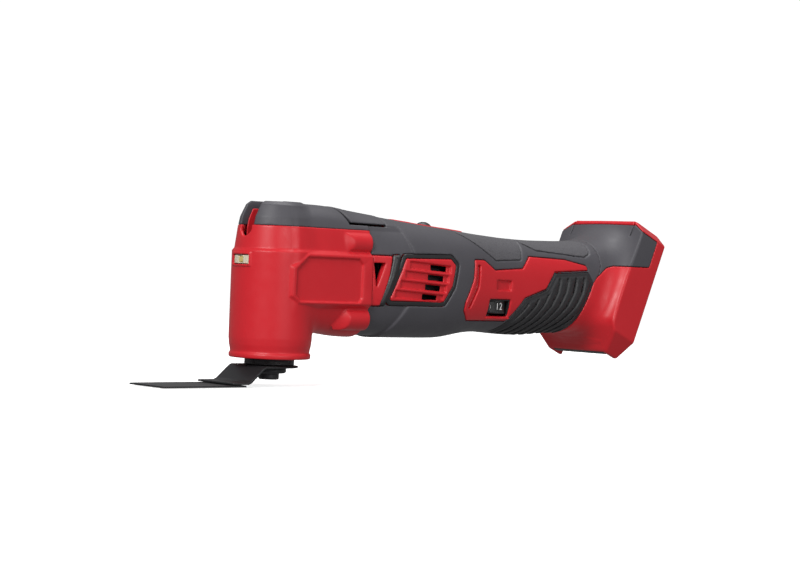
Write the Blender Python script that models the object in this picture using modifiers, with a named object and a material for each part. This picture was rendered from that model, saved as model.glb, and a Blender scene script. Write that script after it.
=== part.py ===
"""Cordless oscillating multi tool: saw blade, head, motor, grip and slide-battery foot.

The tool frame is in millimetres: the spindle axis is X = Y = 0, Z = 0 is the rim under
the head, -X is the front, and the XZ plane is the plane of symmetry. ORIGIN carries it
to the part's own frame in metres, whose origin is the bottom centre of the whole tool.
"""
import math

import bmesh
import bpy
from mathutils import Matrix, Vector

NAME = "oscillating_multi_tool"
MM = 0.001
GAP = 0.3                       # clearance between neighbouring pieces

# Driving dimensions
BLADE_WIDTH = 35.0
BLADE_REACH = 88.5              # spindle axis to the tips of the teeth
BLADE_THICK = 1.0
HEAD_R = 25.0
HEAD_SIDES = 32
RIM_R = 24.5
BOOT_Z = 78.7                   # top of the red head housing
COVER_TOP_Z = 93.5
NECK_END_X = 57.0
WALL = 2.5
GRIP_SKIN = 1.5                 # soft overmould thickness
MOTOR_Z = 50.0                  # motor axis height
LEVER_PIVOT_Z = 85.0
LEVER_SWING = 110.0             # degrees, closed to fully open
CLAMP_TRAVEL = 3.0              # blade clamp drop at full lever swing
ECCENTRIC = 0.8                 # throw of the drive eccentric
FORK_REACH = 31.4               # spindle axis to the tips of the fork's tines
FORK_HALF_GAP = 9.8             # clears the eccentric's bearing at any angle
FOOT_TILT = math.radians(23.0)
FOOT_HALF_W = 38.0
FOOT_DEPTH = 26.0
FOOT_BASE_X = 252.4             # where the foot's front plane meets Z = 0
DIAL_X = 168.5
DIAL_Y = -11.1
DIAL_Z = 34.5
DIAL_R = 13.0
KNOB_TRAVEL = 6.0

FOOT_TOP = 103.2                # length of the foot along its own tilt
BLADE_Z = -15.3                 # top face of the saw plate
COVER_EDGE_Z = 64.3             # lower edge of the soft cover on the foot
REAR_X = FOOT_BASE_X + FOOT_TOP * math.sin(FOOT_TILT) + FOOT_DEPTH * math.cos(FOOT_TILT)
# Added to tool coordinates, in millimetres, to reach the part's own frame
ORIGIN = Vector(((BLADE_REACH - REAR_X) / 2, 0.0, BLADE_THICK - BLADE_Z))

# Body stations: x at mid height, top z, bottom z, half width, lean (0 upright, 1 foot tilt)
BODY = (
    (57.4, 90.3, 13.0, 25.2, 0.0), (66.0, 89.4, 12.9, 27.4, 0.0), (86.0, 87.4, 12.9, 30.0, 0.0),
    (114.0, 85.0, 12.9, 30.5, 0.0), (130.0, 83.8, 13.0, 29.8, 0.0), (143.0, 82.8, 15.4, 28.4, 0.0),
    (157.0, 81.5, 17.2, 26.8, 0.0), (170.0, 80.7, 17.3, 25.8, 0.0), (186.0, 79.7, 16.0, 25.2, 0.0),
    (200.0, 79.3, 15.3, 25.0, 0.0), (214.0, 79.1, 16.3, 25.0, 0.0), (226.0, 79.4, 17.1, 25.4, 0.1),
    (240.0, 79.8, 17.3, 26.2, 0.45), (254.0, 81.0, 17.3, 27.2, 0.8), (273.2, 87.0, 17.0, 30.5, 1.0),
)
NECK = (
    (0.0, 93.5, 16.0, 24.5, 0.0), (33.0, 93.3, 15.3, 24.5, 0.0), (48.0, 91.3, 13.2, 24.7, 0.0),
    (57.0, 90.3, 13.0, 25.0, 0.0),
)
NECK_AND_LEVER = (*NECK, (66.0, 89.4, 12.9, 27.4, 0.0), (70.0, 88.9, 12.9, 28.0, 0.0))
# Pieces whose cuts need the solver for closed meshes
CLOSED_SOLVER = {"head_housing", "blade_adapter", "cooling_fan"}

COLOURS = {                     # colour, roughness, metallic
    "red_plastic": ((0.60, 0.030, 0.035), 0.38, 0.0),
    "grey_rubber": ((0.085, 0.082, 0.095), 0.62, 0.0),
    "black_rubber": ((0.020, 0.020, 0.023), 0.60, 0.0),
    "black_plastic": ((0.015, 0.015, 0.017), 0.45, 0.0),
    "clear_lens": ((0.95, 0.90, 0.70), 0.08, 0.0),
    "blackened_steel": ((0.045, 0.045, 0.050), 0.45, 0.9),
    "bright_steel": ((0.62, 0.62, 0.64), 0.28, 1.0),
    "cast_aluminium": ((0.55, 0.55, 0.57), 0.50, 1.0),
    "copper": ((0.75, 0.36, 0.20), 0.35, 1.0),
    "brass": ((0.80, 0.62, 0.28), 0.32, 1.0),
    "carbon": ((0.03, 0.03, 0.03), 0.80, 0.0),
    "circuit_green": ((0.02, 0.16, 0.07), 0.45, 0.0),
}


# ---------------------------------------------------------------- scene and objects

def clear_scene():
    for obj in list(bpy.data.objects):
        bpy.data.objects.remove(obj, do_unlink=True)


def new_collection(name):
    group = bpy.data.collections.new(name)
    bpy.context.scene.collection.children.link(group)
    return group


clear_scene()
PARTS = new_collection(NAME)
CUTTERS = new_collection("cutters")


def to_frame(x, y, z):
    """Tool millimetres to the part's frame in metres."""
    return (Vector((x, y, z)) + ORIGIN) * MM


def make_material(name, colour, roughness, metallic):
    mat = bpy.data.materials.new(name)
    mat.use_nodes = True
    shader = mat.node_tree.nodes["Principled BSDF"]
    shader.inputs["Base Color"].default_value = (*colour, 1.0)
    shader.inputs["Roughness"].default_value = roughness
    shader.inputs["Metallic"].default_value = metallic
    return mat


def new_object(name, mesh, pivot=(0.0, 0.0, 0.0), cutter=False):
    """Put a mesh made in tool millimetres into the scene, with its origin at pivot."""
    mesh.transform(Matrix.Scale(MM, 4) @ Matrix.Translation(-Vector(pivot)))
    obj = bpy.data.objects.new(name, mesh)
    obj.location = to_frame(*pivot)
    (CUTTERS if cutter else PARTS).objects.link(obj)
    if cutter:
        obj.hide_render = True
        obj.display_type = "WIRE"
    return obj


def piece(name, look, solid, pivot=(0.0, 0.0, 0.0)):
    """A named sub-part from a bmesh solid."""
    mesh = bpy.data.meshes.new(name)
    bmesh.ops.recalc_face_normals(solid, faces=solid.faces)
    solid.to_mesh(mesh)
    solid.free()
    mesh.shade_smooth()
    mesh.set_sharp_from_angle(angle=math.radians(35.0))
    mat = make_material(f"{name}_{look}", *COLOURS[look])
    mesh.materials.append(mat)
    return new_object(name, mesh, pivot)


def cutter(name, solid):
    mesh = bpy.data.meshes.new(name)
    bmesh.ops.recalc_face_normals(solid, faces=solid.faces)
    solid.to_mesh(mesh)
    solid.free()
    return new_object(name, mesh, cutter=True)


def boolean(obj, other, operation):
    mod = obj.modifiers.new(f"{operation.lower()}_{other.name}", "BOOLEAN")
    mod.operation = operation
    mod.object = other
    mod.solver = "MANIFOLD" if obj.name in CLOSED_SOLVER else "EXACT"


def cut(obj, solid):
    boolean(obj, cutter(f"{obj.name}_cut_{len(obj.modifiers)}", solid), "DIFFERENCE")


def add(obj, solid):
    boolean(obj, cutter(f"{obj.name}_add_{len(obj.modifiers)}", solid), "UNION")


def keep(obj, solid):
    boolean(obj, cutter(f"{obj.name}_keep_{len(obj.modifiers)}", solid), "INTERSECT")


# ---------------------------------------------------------------- solids in millimetres

def box(x0, x1, y0, y1, z0, z1, bevel=0.0):
    bm = bmesh.new()
    bmesh.ops.create_cube(bm, size=1.0)
    bmesh.ops.scale(bm, vec=(x1 - x0, y1 - y0, z1 - z0), verts=bm.verts)
    bmesh.ops.translate(bm, vec=((x0 + x1) / 2, (y0 + y1) / 2, (z0 + z1) / 2), verts=bm.verts)
    if bevel:
        bmesh.ops.bevel(bm, geom=bm.edges[:], offset=bevel, segments=1, affect="EDGES")
    return bm


SEAM_TURN = math.radians(2.3)    # keeps the corners of round solids off the mid plane
AXIS_TURN = {
    "Z": Matrix.Identity(4),
    "X": Matrix.Rotation(math.radians(90.0), 4, "Y"),
    "Y": Matrix.Rotation(math.radians(-90.0), 4, "X"),
}


def rod(axis, centre, start, end, r1, r2=None, sides=24):
    """A cylinder or cone from start to end along an axis, through the given centre."""
    bm = bmesh.new()
    bmesh.ops.create_cone(bm, cap_ends=True, segments=sides, radius1=r1,
                          radius2=r1 if r2 is None else r2, depth=end - start)
    bmesh.ops.rotate(bm, matrix=Matrix.Rotation(SEAM_TURN, 3, "Z"), verts=bm.verts)
    bmesh.ops.translate(bm, vec=(0.0, 0.0, (start + end) / 2), verts=bm.verts)
    bmesh.ops.transform(bm, matrix=AXIS_TURN[axis], verts=bm.verts)
    bmesh.ops.translate(bm, vec=centre, verts=bm.verts)
    return bm


def turned(axis, centre, profile, sides=32):
    """A closed profile of (radius, height) pairs turned about an axis by a Screw modifier."""
    mesh = bpy.data.meshes.new("profile")
    count = len(profile)
    open_ended = profile[0][0] == 0.0
    edges = [(i, (i + 1) % count) for i in range(count - 1 if open_ended else count)]
    mesh.from_pydata([(r, 0.0, h) for r, h in profile], edges, [])
    obj = bpy.data.objects.new("profile", mesh)
    CUTTERS.objects.link(obj)
    screw = obj.modifiers.new("turn", "SCREW")
    screw.steps = screw.render_steps = sides
    screw.use_merge_vertices = True
    screw.merge_threshold = 0.0001
    graph = bpy.context.evaluated_depsgraph_get()
    bm = bmesh.new()
    bm.from_mesh(obj.evaluated_get(graph).to_mesh())
    bpy.data.objects.remove(obj, do_unlink=True)
    bmesh.ops.remove_doubles(bm, verts=bm.verts, dist=0.0001)
    bmesh.ops.rotate(bm, matrix=Matrix.Rotation(SEAM_TURN, 3, "Z"), verts=bm.verts)
    bmesh.ops.transform(bm, matrix=AXIS_TURN[axis], verts=bm.verts)
    bmesh.ops.translate(bm, vec=centre, verts=bm.verts)
    return bm


def ring(axis, centre, start, end, r_out, r_in, sides=32):
    return turned(axis, centre, ((r_out, end), (r_out, start), (r_in, start), (r_in, end)), sides)


def outline_mesh(points, low, high):
    """A flat outline extruded from low to high, from a filled 2D curve."""
    curve = bpy.data.curves.new("outline", "CURVE")
    curve.dimensions = "2D"
    curve.fill_mode = "BOTH"
    curve.extrude = (high - low) / 2
    spline = curve.splines.new("POLY")
    spline.points.add(len(points) - 1)
    for target, (a, b) in zip(spline.points, points):
        target.co = (a, b, 0.0, 1.0)
    spline.use_cyclic_u = True
    obj = bpy.data.objects.new("outline", curve)
    CUTTERS.objects.link(obj)
    graph = bpy.context.evaluated_depsgraph_get()
    bm = bmesh.new()
    bm.from_mesh(bpy.data.meshes.new_from_object(obj.evaluated_get(graph)))
    bpy.data.objects.remove(obj, do_unlink=True)
    bmesh.ops.remove_doubles(bm, verts=bm.verts, dist=0.0001)
    bmesh.ops.translate(bm, vec=(0.0, 0.0, (low + high) / 2), verts=bm.verts)
    return bm


def plate_xy(points, z0, z1):
    return outline_mesh(points, z0, z1)


def plate_xz(points, y0, y1):
    """An outline in the XZ plane, thick along Y."""
    bm = outline_mesh(points, -y1, -y0)
    bmesh.ops.transform(bm, matrix=Matrix.Rotation(math.radians(90.0), 4, "X"), verts=bm.verts)
    return bm


def plate_yz(points, x0, x1):
    """An outline in the YZ plane, thick along X."""
    bm = outline_mesh(points, x0, x1)
    turn = Matrix(((0, 0, 1, 0), (1, 0, 0, 0), (0, 1, 0, 0), (0, 0, 0, 1)))
    bmesh.ops.transform(bm, matrix=turn, verts=bm.verts)
    return bm


def mirrored(bm):
    """The same solid on the other side of the tool."""
    bmesh.ops.scale(bm, vec=(1.0, -1.0, 1.0), verts=bm.verts)
    bmesh.ops.reverse_faces(bm, faces=bm.faces)
    return bm


def sided(bm, side):
    """A solid made for the left (-Y) side, or mirrored to the right."""
    return bm if side == "left" else mirrored(bm)


def loft(rings):
    """A closed solid through rings of equal point count, capped at both ends."""
    bm = bmesh.new()
    rows = [[bm.verts.new(p) for p in points] for points in rings]
    for low, high in zip(rows, rows[1:]):
        for i in range(len(low)):
            j = (i + 1) % len(low)
            bm.faces.new((low[i], low[j], high[j], high[i]))
    bm.faces.new(rows[0])
    bm.faces.new(rows[-1])
    return bm


# ---------------------------------------------------------------- the body's outer form

SQUARENESS = 2.5                # 2 is an ellipse, larger is boxier
HALF_STEPS = 9


def body_point(station, angle, inset):
    """A point of one cross-section: angle 90 is the top, 0 the side, -90 the bottom."""
    x, top, bottom, half_w, lean = station
    half_h = (top - bottom) / 2 - inset
    centre_z = (top + bottom) / 2
    c, s = math.cos(angle), math.sin(angle)
    y = (half_w - inset) * math.copysign(abs(c) ** (2 / SQUARENESS), c)
    z = centre_z + half_h * math.copysign(abs(s) ** (2 / SQUARENESS), s)
    return x + lean * math.tan(FOOT_TILT) * (z - MOTOR_Z), y, z


def arc(station, inset, first=90.0, last=-90.0):
    """Points down the left side of one cross-section."""
    points = []
    for i in range(HALF_STEPS + 1):
        angle = math.radians(first + (last - first) * i / HALF_STEPS)
        x, y, z = body_point(station, angle, inset)
        points.append((x, -max(y, GAP / 2), z))
    return points


def half_shell(stations, outside, thickness, side):
    """One side's wall between two insets of the body's outer form, split at Y = 0."""
    rings = [arc(st, outside) + arc(st, outside + thickness)[::-1] for st in stations]
    return sided(loft(rings), side)


def full_form(stations, inset):
    """The whole body as a solid, inset from its outer form."""
    rings = []
    for st in stations:
        left = [(x, y if 0 < i < HALF_STEPS else 0.0, z)
                for i, (x, y, z) in enumerate(arc(st, inset))]
        right = [(x, -y, z) for x, y, z in left[1:-1]]
        rings.append(left + right[::-1])
    return loft(rings)


# ---------------------------------------------------------------- foot coordinates

FOOT_UP = Vector((math.sin(FOOT_TILT), 0.0, math.cos(FOOT_TILT)))
FOOT_REAR = Vector((math.cos(FOOT_TILT), 0.0, -math.sin(FOOT_TILT)))
FOOT_FRAME = Matrix((
    (FOOT_REAR.x, 0.0, FOOT_UP.x, FOOT_BASE_X),
    (0.0, 1.0, 0.0, 0.0),
    (FOOT_REAR.z, 0.0, FOOT_UP.z, 0.0),
    (0.0, 0.0, 0.0, 1.0),
))


def in_foot(bm):
    """Carry a solid made as (rearward, sideways, up the foot) to tool coordinates."""
    bmesh.ops.transform(bm, matrix=FOOT_FRAME, verts=bm.verts)
    return bm


# ---------------------------------------------------------------- head

LEVER_GRIP = ((36.6, 92.9), (68.0, 88.9), (68.0, 82.6), (43.0, 82.4))
LEVER_HALF_W = 5.7
CAM_LOW_R = 5.0
CAM_HALF_W = 5.3
SLOT_HALF_W = 6.2
SPINDLE_BORE_R = 16.0
BOSS_Y = 17.5                   # screw bosses that hold the head to the motor housing
BOSS_Z = (25.5, 71.0)


def head_form(inset, low, high):
    """The round head as one turned solid."""
    outer = ((0.0, high), (RIM_R - 3.2 - inset, high), (22.2 - inset, 76.0), (23.5 - inset, 66.0),
             (HEAD_R - inset, 64.0), (HEAD_R - inset, 7.0), (23.8 - inset, 3.7),
             (RIM_R - inset, 3.0), (RIM_R - inset, low), (0.0, low))
    return turned("Z", (0, 0, 0), outer, HEAD_SIDES)


def head_housing():
    head = piece("head_housing", "red_plastic", head_form(0.0, 0.0, BOOT_Z))
    add(head, full_form(NECK, 0.0))
    cut(head, box(-40, 80, -40, 40, BOOT_Z, 120))
    cut(head, turned("Z", (0, 0, 0), ((0, 90), (19.0, 90), (19.0, 74), (22.3, 62), (22.3, 3.0),
                                      (SPINDLE_BORE_R, 3.0), (SPINDLE_BORE_R, -5), (0, -5)), HEAD_SIDES))
    inner = [(-0.1, 88.0, 16.0, 24.5, 0.0), *NECK[1:-1], (58.0, 90.2, 13.0, 25.0, 0.0)]
    cut(head, full_form(inner, WALL))
    cut(head, box(-30, -16, -5.0, 5.0, 72.3, 90))
    cut(head, box(-30, -20, -7.3, 7.3, 55.5, 61.3))
    for side in ("left", "right"):
        for z in BOSS_Z:
            add(head, sided(rod("X", (0, -BOSS_Y, z), 39.0, 56.9, 5.6, sides=16), side))
            cut(head, sided(rod("X", (0, -BOSS_Y, z), 30.0, 45.0, 3.6, sides=16), side))
            cut(head, sided(rod("X", (0, -BOSS_Y, z), 30.0, 60.0, 1.9, sides=16), side))
    return head


def head_top_cover():
    cover = piece("head_top_cover", "grey_rubber", turned(
        "Z", (0, 0, 0), ((0, COVER_TOP_Z), (15.2, COVER_TOP_Z), (17.2, 91.7), (21.2, BOOT_Z + GAP),
                         (0, BOOT_Z + GAP)), HEAD_SIDES))
    add(cover, full_form(NECK_AND_LEVER, 0.0))
    cut(cover, box(-40, 100, -40, 40, -20, BOOT_Z + GAP))
    cut(cover, box(NECK_END_X, 100, -40, 40, 20, 100))
    cut(cover, plate_xz(((-30, 70), (-30, 100), (80, 100), (80, 82), (42.6, 82), (42.6, 70)),
                        -SLOT_HALF_W, SLOT_HALF_W))
    cut(cover, plate_xz(((36.0, 93.6), (42.2, 82.0), (80, 82.0), (80, 100), (36.0, 100)), -40, 40))
    cut(cover, rod("Y", (0, 0, LEVER_PIVOT_Z), -12.4, 12.4, 2.0, sides=16))
    return cover


def clamp_lever():
    """The blade clamp lever, closed: cam over the spindle, grip flush with the cover."""
    grip = piece("clamp_lever", "grey_rubber", plate_xz(LEVER_GRIP, -18.0, 18.0),
                 pivot=(0, 0, LEVER_PIVOT_Z))
    keep(grip, full_form(NECK_AND_LEVER, 0.0))
    add(grip, plate_xz(((-2, 85), (-4, 92.0), (0, 93.2), (44, 91.6), (44, 83.6), (10, 83.6)),
                       -LEVER_HALF_W, LEVER_HALF_W))
    add(grip, plate_xz(cam_outline(), -CAM_HALF_W, CAM_HALF_W))
    cut(grip, rod("Y", (0, 0, LEVER_PIVOT_Z), -9, 9, 2.05, sides=16))
    return grip


def cam_outline():
    """A spiral: the radius under the pivot grows by the clamp travel over the swing."""
    points = []
    for i in range(25):
        turn = LEVER_SWING * i / 24
        angle = math.radians(-90.0 - turn)
        r = CAM_LOW_R + CLAMP_TRAVEL * turn / LEVER_SWING
        points.append((r * math.cos(angle), LEVER_PIVOT_Z + r * math.sin(angle)))
    back = [(4.9 * math.cos(math.radians(a)), LEVER_PIVOT_Z + 4.9 * math.sin(math.radians(a)))
            for a in range(120, -90, -30)]
    return points + back


def lever_pin():
    return piece("lever_pin", "bright_steel", rod("Y", (0, 0, LEVER_PIVOT_Z), -12.0, 12.0, 1.75,
                                                  sides=16))


def gear_case():
    """Die-cast case holding both spindle bearings and carrying the motor's nose."""
    case = piece("gear_case", "cast_aluminium", rod("Z", (0, 0, 0), 4.0, 66.0, 21.0, sides=28))
    add(case, rod("X", (0, 0, MOTOR_Z), 0.0, 54.0, 15.8, sides=24))
    cut(case, rod("Z", (0, 0, 0), 16.5, 54.5, 18.5, sides=28))
    cut(case, rod("X", (0, 0, MOTOR_Z), 0.0, 51.0, 14.0, sides=24))
    cut(case, rod("X", (0, 0, MOTOR_Z), 40.0, 60.0, 11.3, sides=24))
    cut(case, rod("Z", (0, 0, 0), 0.0, 14.5, 16.3, sides=28))
    cut(case, rod("Z", (0, 0, 0), 0.0, 56.0, 9.0, sides=20))
    cut(case, rod("Z", (0, 0, 0), 55.7, 90.0, 13.3, sides=24))
    return case


def spindle():
    """Hollow output spindle with the drive collar that the blade seats against."""
    return piece("spindle", "blackened_steel", turned("Z", (0, 0, 0), (
        (8.0, 64.0), (8.0, -0.2), (15.0, -0.2), (15.0, -3.9), (4.9, -3.9), (4.9, 64.0)), 24))


def fork_arm():
    """Oscillating fork pressed on the spindle, its two tines astride the eccentric."""
    hub = ring("Z", (0, 0, 0), 43.0, 54.0, 12.0, 8.3, 24)
    fork = piece("fork_arm", "bright_steel", hub)
    for side in ("left", "right"):
        add(fork, sided(box(1.0, FORK_REACH, -11.9, -FORK_HALF_GAP, 46.5, 53.0), side))
    return fork


def spindle_parts():
    spindle()
    fork_arm()
    piece("lower_spindle_bearing", "bright_steel", ring("Z", (0, 0, 0), 5.0, 14.0, 16.0, 8.3, 24))
    piece("upper_spindle_bearing", "bright_steel", ring("Z", (0, 0, 0), 56.0, 63.5, 13.0, 8.3, 24))
    rod_solid = turned("Z", (0, 0, 0), ((0, 79.7), (2.2, 79.7), (4.0, 77.5), (6.4, 77.5),
                                        (6.4, 75.3), (4.0, 75.3), (4.0, -5.7), (0, -5.7)), 20)
    piece("clamp_rod", "bright_steel", rod_solid)
    piece("clamp_flange", "blackened_steel", turned("Z", (0, 0, 0), (
        (0, -6.0), (10.4, -6.0), (10.4, -9.0), (6.2, -9.2), (6.2, -12.9), (0, -12.9)), 24))
    clamp_spring()


def clamp_spring():
    """Compression spring that pulls the clamp rod up, around the rod above the spindle."""
    turns, sides, low, high, radius = 3.0, 12, 65.2, 74.4, 5.6
    curve = bpy.data.curves.new("spring", "CURVE")
    curve.dimensions = "3D"
    curve.bevel_depth = 0.55
    curve.bevel_resolution = 1
    curve.use_fill_caps = True
    count = int(turns * sides) + 1
    spline = curve.splines.new("POLY")
    spline.points.add(count - 1)
    for i, target in enumerate(spline.points):
        angle = math.tau * i / sides
        height = low + (high - low) * i / (count - 1)
        target.co = (radius * math.cos(angle), radius * math.sin(angle), height, 1.0)
    obj = bpy.data.objects.new("spring", curve)
    CUTTERS.objects.link(obj)
    graph = bpy.context.evaluated_depsgraph_get()
    bm = bmesh.new()
    bm.from_mesh(bpy.data.meshes.new_from_object(obj.evaluated_get(graph)))
    bpy.data.objects.remove(obj, do_unlink=True)
    bmesh.ops.remove_doubles(bm, verts=bm.verts, dist=0.0001)
    piece("clamp_spring", "bright_steel", bm)


def blade():
    """Plunge-cut saw plate and the cranked adapter that carries it."""
    half = BLADE_WIDTH / 2
    teeth = 25
    outline = [(-30.0, half), (-30.0, -half), (-BLADE_REACH + 1.2, -half)]
    for i in range(teeth):
        y = -half + BLADE_WIDTH * (i + 0.5) / teeth
        outline.append((-BLADE_REACH, y))
        outline.append((-BLADE_REACH + 1.2, y + BLADE_WIDTH * 0.5 / teeth))
    piece("saw_blade", "blackened_steel", plate_xy(outline, BLADE_Z - BLADE_THICK, BLADE_Z))
    crank = ((-39.5, -15.0), (-26.6, -15.0), (-15.6, -5.6), (0.0, -5.6), (0.0, -4.2),
             (-16.2, -4.2), (-27.2, -13.6), (-39.5, -13.6))
    adapter = piece("blade_adapter", "blackened_steel", plate_xz(crank, -half, half))
    add(adapter, rod("Z", (0, 0, 0), -5.6, -4.2, half - 0.1, sides=32))
    cut(adapter, rod("Z", (0, 0, 0), -8.0, 0.0, 5.0, sides=12))


def work_light():
    """The front lens and the light board behind it."""
    piece("led_lens", "clear_lens", box(-24.7, -22.6, -7.0, 7.0, 55.8, 61.0, 0.4))
    board = piece("led_board", "circuit_green", box(-22.2, -21.3, -5.0, 5.0, 56.0, 60.8))
    add(board, box(-22.4, -21.6, -1.5, 1.5, 56.9, 59.9))


# ---------------------------------------------------------------- motor

def motor():
    centre = (0, 0, MOTOR_Z)
    can = turned("X", centre, ((22.5, 119.0), (22.5, 69.0), (9.5, 69.0), (9.5, 71.0),
                               (20.5, 71.0), (20.5, 119.0)), 24)
    piece("motor_can", "bright_steel", can)
    piece("field_magnet", "carbon", ring("X", centre, 73.0, 112.0, 20.1, 16.8, 24))
    piece("front_motor_bearing", "bright_steel", ring("X", centre, 51.5, 56.5, 11.0, 4.3, 16))
    end_bell = turned("X", centre, ((22.5, 140.0), (22.5, 119.3), (19.8, 119.3), (19.8, 131.8),
                                    (9.0, 131.8), (9.0, 140.0)), 24)
    bell = piece("brush_end_bell", "black_plastic", end_bell)
    for side in ("left", "right"):
        cut(bell, sided(box(121.0, 129.0, -24.0, -12.0, 46.0, 54.0), side))
    piece("rear_motor_bearing", "bright_steel", ring("X", centre, 132.2, 138.5, 8.7, 3.3, 16))
    for side in ("left", "right"):
        piece(f"{side}_brush", "carbon", sided(box(121.4, 128.6, -22.3, -10.4, 46.4, 53.6), side))
    rotor(centre)


def rotor(centre):
    pivot = (60.0, 0.0, MOTOR_Z)
    shaft = rod("X", centre, 20.0, 139.5, 3.0, sides=12)
    piece("motor_shaft", "bright_steel", shaft, pivot)
    piece("armature", "bright_steel", ring("X", centre, 75.0, 110.0, 16.3, 3.3, 20), pivot)
    windings = turned("X", centre, ((11.0, 118.6), (14.0, 116.0), (14.0, 110.3), (3.3, 110.3),
                                    (3.3, 118.6)), 20)
    piece("armature_windings", "copper", windings, pivot)
    piece("commutator", "copper", ring("X", centre, 119.0, 130.5, 10.0, 3.3, 20), pivot)
    fan = piece("cooling_fan", "black_plastic", ring("X", centre, 61.8, 67.2, 7.0, 3.3, 16), pivot)
    add(fan, turned("X", centre, ((21.5, 67.2), (21.5, 66.2), (6.5, 66.2), (6.5, 67.2)), 24))
    for i in range(8):
        vane = box(62.2, 66.6, -0.7, 0.7, 6.0, 21.0)
        turn = Matrix.Translation(centre) @ Matrix.Rotation(math.tau * i / 8, 4, "X")
        bmesh.ops.transform(vane, matrix=turn, verts=vane.verts)
        add(fan, vane)
    offset = (0, 0, MOTOR_Z + ECCENTRIC)
    eccentric = piece("eccentric", "bright_steel", rod("X", offset, 21.0, 32.0, 5.2, sides=16), pivot)
    add(eccentric, rod("X", (0, 0, MOTOR_Z - 2.5), 32.0, 38.0, 8.5, sides=16))
    cut(eccentric, rod("X", centre, 18.0, 40.0, 3.3, sides=16))
    piece("eccentric_bearing", "bright_steel", ring("X", offset, 23.0, 30.0, 8.0, 5.5, 20), pivot)


def front_plate():
    """Plate that closes the motor housing and takes the four head screws."""
    plate = piece("front_plate", "black_plastic", full_form(
        [(57.6, 90.2, 13.0, 25.2, 0.0), (61.2, 89.9, 13.0, 26.1, 0.0)], GRIP_SKIN + WALL + 0.8))
    cut(plate, rod("X", (0, 0, MOTOR_Z), 50.0, 70.0, 12.0, sides=24))
    cut(plate, box(50, 70, -30, 30, 81.4, 95.0))
    for side in ("left", "right"):
        for z in BOSS_Z:
            cut(plate, sided(rod("X", (0, -BOSS_Y + 2.5, z), 50.0, 70.0, 1.8, sides=12), side))
    return plate


def head_screws():
    number = 1
    for side in ("left", "right"):
        for z in BOSS_Z:
            solid = turned("X", (0, -BOSS_Y, z), ((0, 57.2), (1.5, 57.2), (1.5, 44.9 - 0.2),
                                                  (3.1, 44.7), (3.1, 42.0), (0, 42.0)), 10)
            piece(f"head_screw_{number}", "bright_steel", sided(solid, side))
            number += 1


# ---------------------------------------------------------------- housing and grips

SIDE_PANEL = ((142.0, 64.4), (152.0, 64.4), (162.0, 58.3), (188.5, 60.0), (196.6, 68.2),
              (229.5, 67.3), (248.4, 63.9), (250.6, 60.2), (219.0, 58.3), (211.0, 46.8),
              (191.5, 40.5), (178.0, 25.0), (136.0, 25.0), (133.0, 35.0))
VENT_PANEL = ((82.0, 63.0), (120.0, 63.8), (124.0, 60.0), (121.0, 47.0), (114.0, 36.5),
              (70.5, 36.5))
NOSE_PANEL = ((56.0, 64.3), (72.0, 64.3), (70.0, 52.0), (64.5, 33.0), (56.0, 33.0))
RIB_PANEL = ((219.5, 57.6), (250.0, 59.2), (253.0, 52.0), (246.0, 36.0), (240.0, 21.0), (182.0, 21.0),
             (179.5, 24.5), (192.3, 39.9), (211.5, 46.2))
SWITCH_PORT = (89.9, 148.1, 9.0)
HOUSING_SCREWS = ((150.0, 27.0), (190.0, 69.0), (240.0, 69.0), (240.0, 28.0))
BOSS_REACH = 13.5               # screw bosses, from the mid plane out to the wall


def grown(points, amount):
    """An outline with every edge moved outward by amount, meeting in mitres."""
    corners = [Vector(p) for p in points]
    area = sum(a.x * b.y - b.x * a.y for a, b in zip(corners, corners[1:] + corners[:1]))
    turn = 1.0 if area > 0 else -1.0
    normals = []
    for a, b in zip(corners, corners[1:] + corners[:1]):
        edge = (b - a).normalized()
        normals.append(Vector((edge.y, -edge.x)) * turn)
    result = []
    for i, corner in enumerate(corners):
        before, after = normals[i - 1], normals[i]
        result.append(corner + (before + after) * (amount / (1.0 + before.dot(after))))
    return tuple((p.x, p.y) for p in result)


def panel_prism(points, amount, side):
    return sided(plate_xz(grown(points, amount), -45.0, -9.0), side)


def stations_between(first, last):
    return [st for st in BODY if first - 0.01 <= st[0] <= last + 0.01]


def housing_half(side):
    """Red clamshell half, with the windows' panels raised through the overmould."""
    inner = GRIP_SKIN + GAP
    shell = half_shell(BODY, inner, WALL, side)
    half = piece(f"{side}_housing", "red_plastic", shell)
    for outline, low, high in ((SIDE_PANEL, 130.0, 273.0), (NOSE_PANEL, 57.4, 86.0)):
        pad = cutter(f"{side}_pad_{low:.0f}", half_shell(stations_between(low, high), 0.2, 3.2, side))
        keep(pad, panel_prism(outline, -GAP, side))
        boolean(half, pad, "UNION")
    cut(half, panel_prism(VENT_PANEL, -4.0, side))
    x0, x1, half_w = SWITCH_PORT
    cut(half, box(x0, x1, -half_w, half_w, 74.0, 95.0))
    cut(half, box(50.0, 68.3 + GAP, -40, 40, 81.7, 100.0))
    for x, z in HOUSING_SCREWS:
        add(half, sided(rod("Y", (x, 0, z), -BOSS_REACH, -GAP / 2, 3.6, sides=10), side))
        cut(half, sided(rod("Y", (x, 0, z), -14.0, 5.0, 1.8, sides=8), side))
        if side == "right":
            cut(half, rod("Y", (x, 0, z), 10.0, 45.0, 3.3, sides=12))
    if side == "left":
        cut(half, box(DIAL_X - 8.5, DIAL_X + 8.5, -40, -15, DIAL_Z - 5.4, DIAL_Z + 5.4))
        cut(half, rod("Z", (DIAL_X, DIAL_Y, DIAL_Z), -5.0, 5.0, DIAL_R + 0.4, sides=28))
    return half


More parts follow.
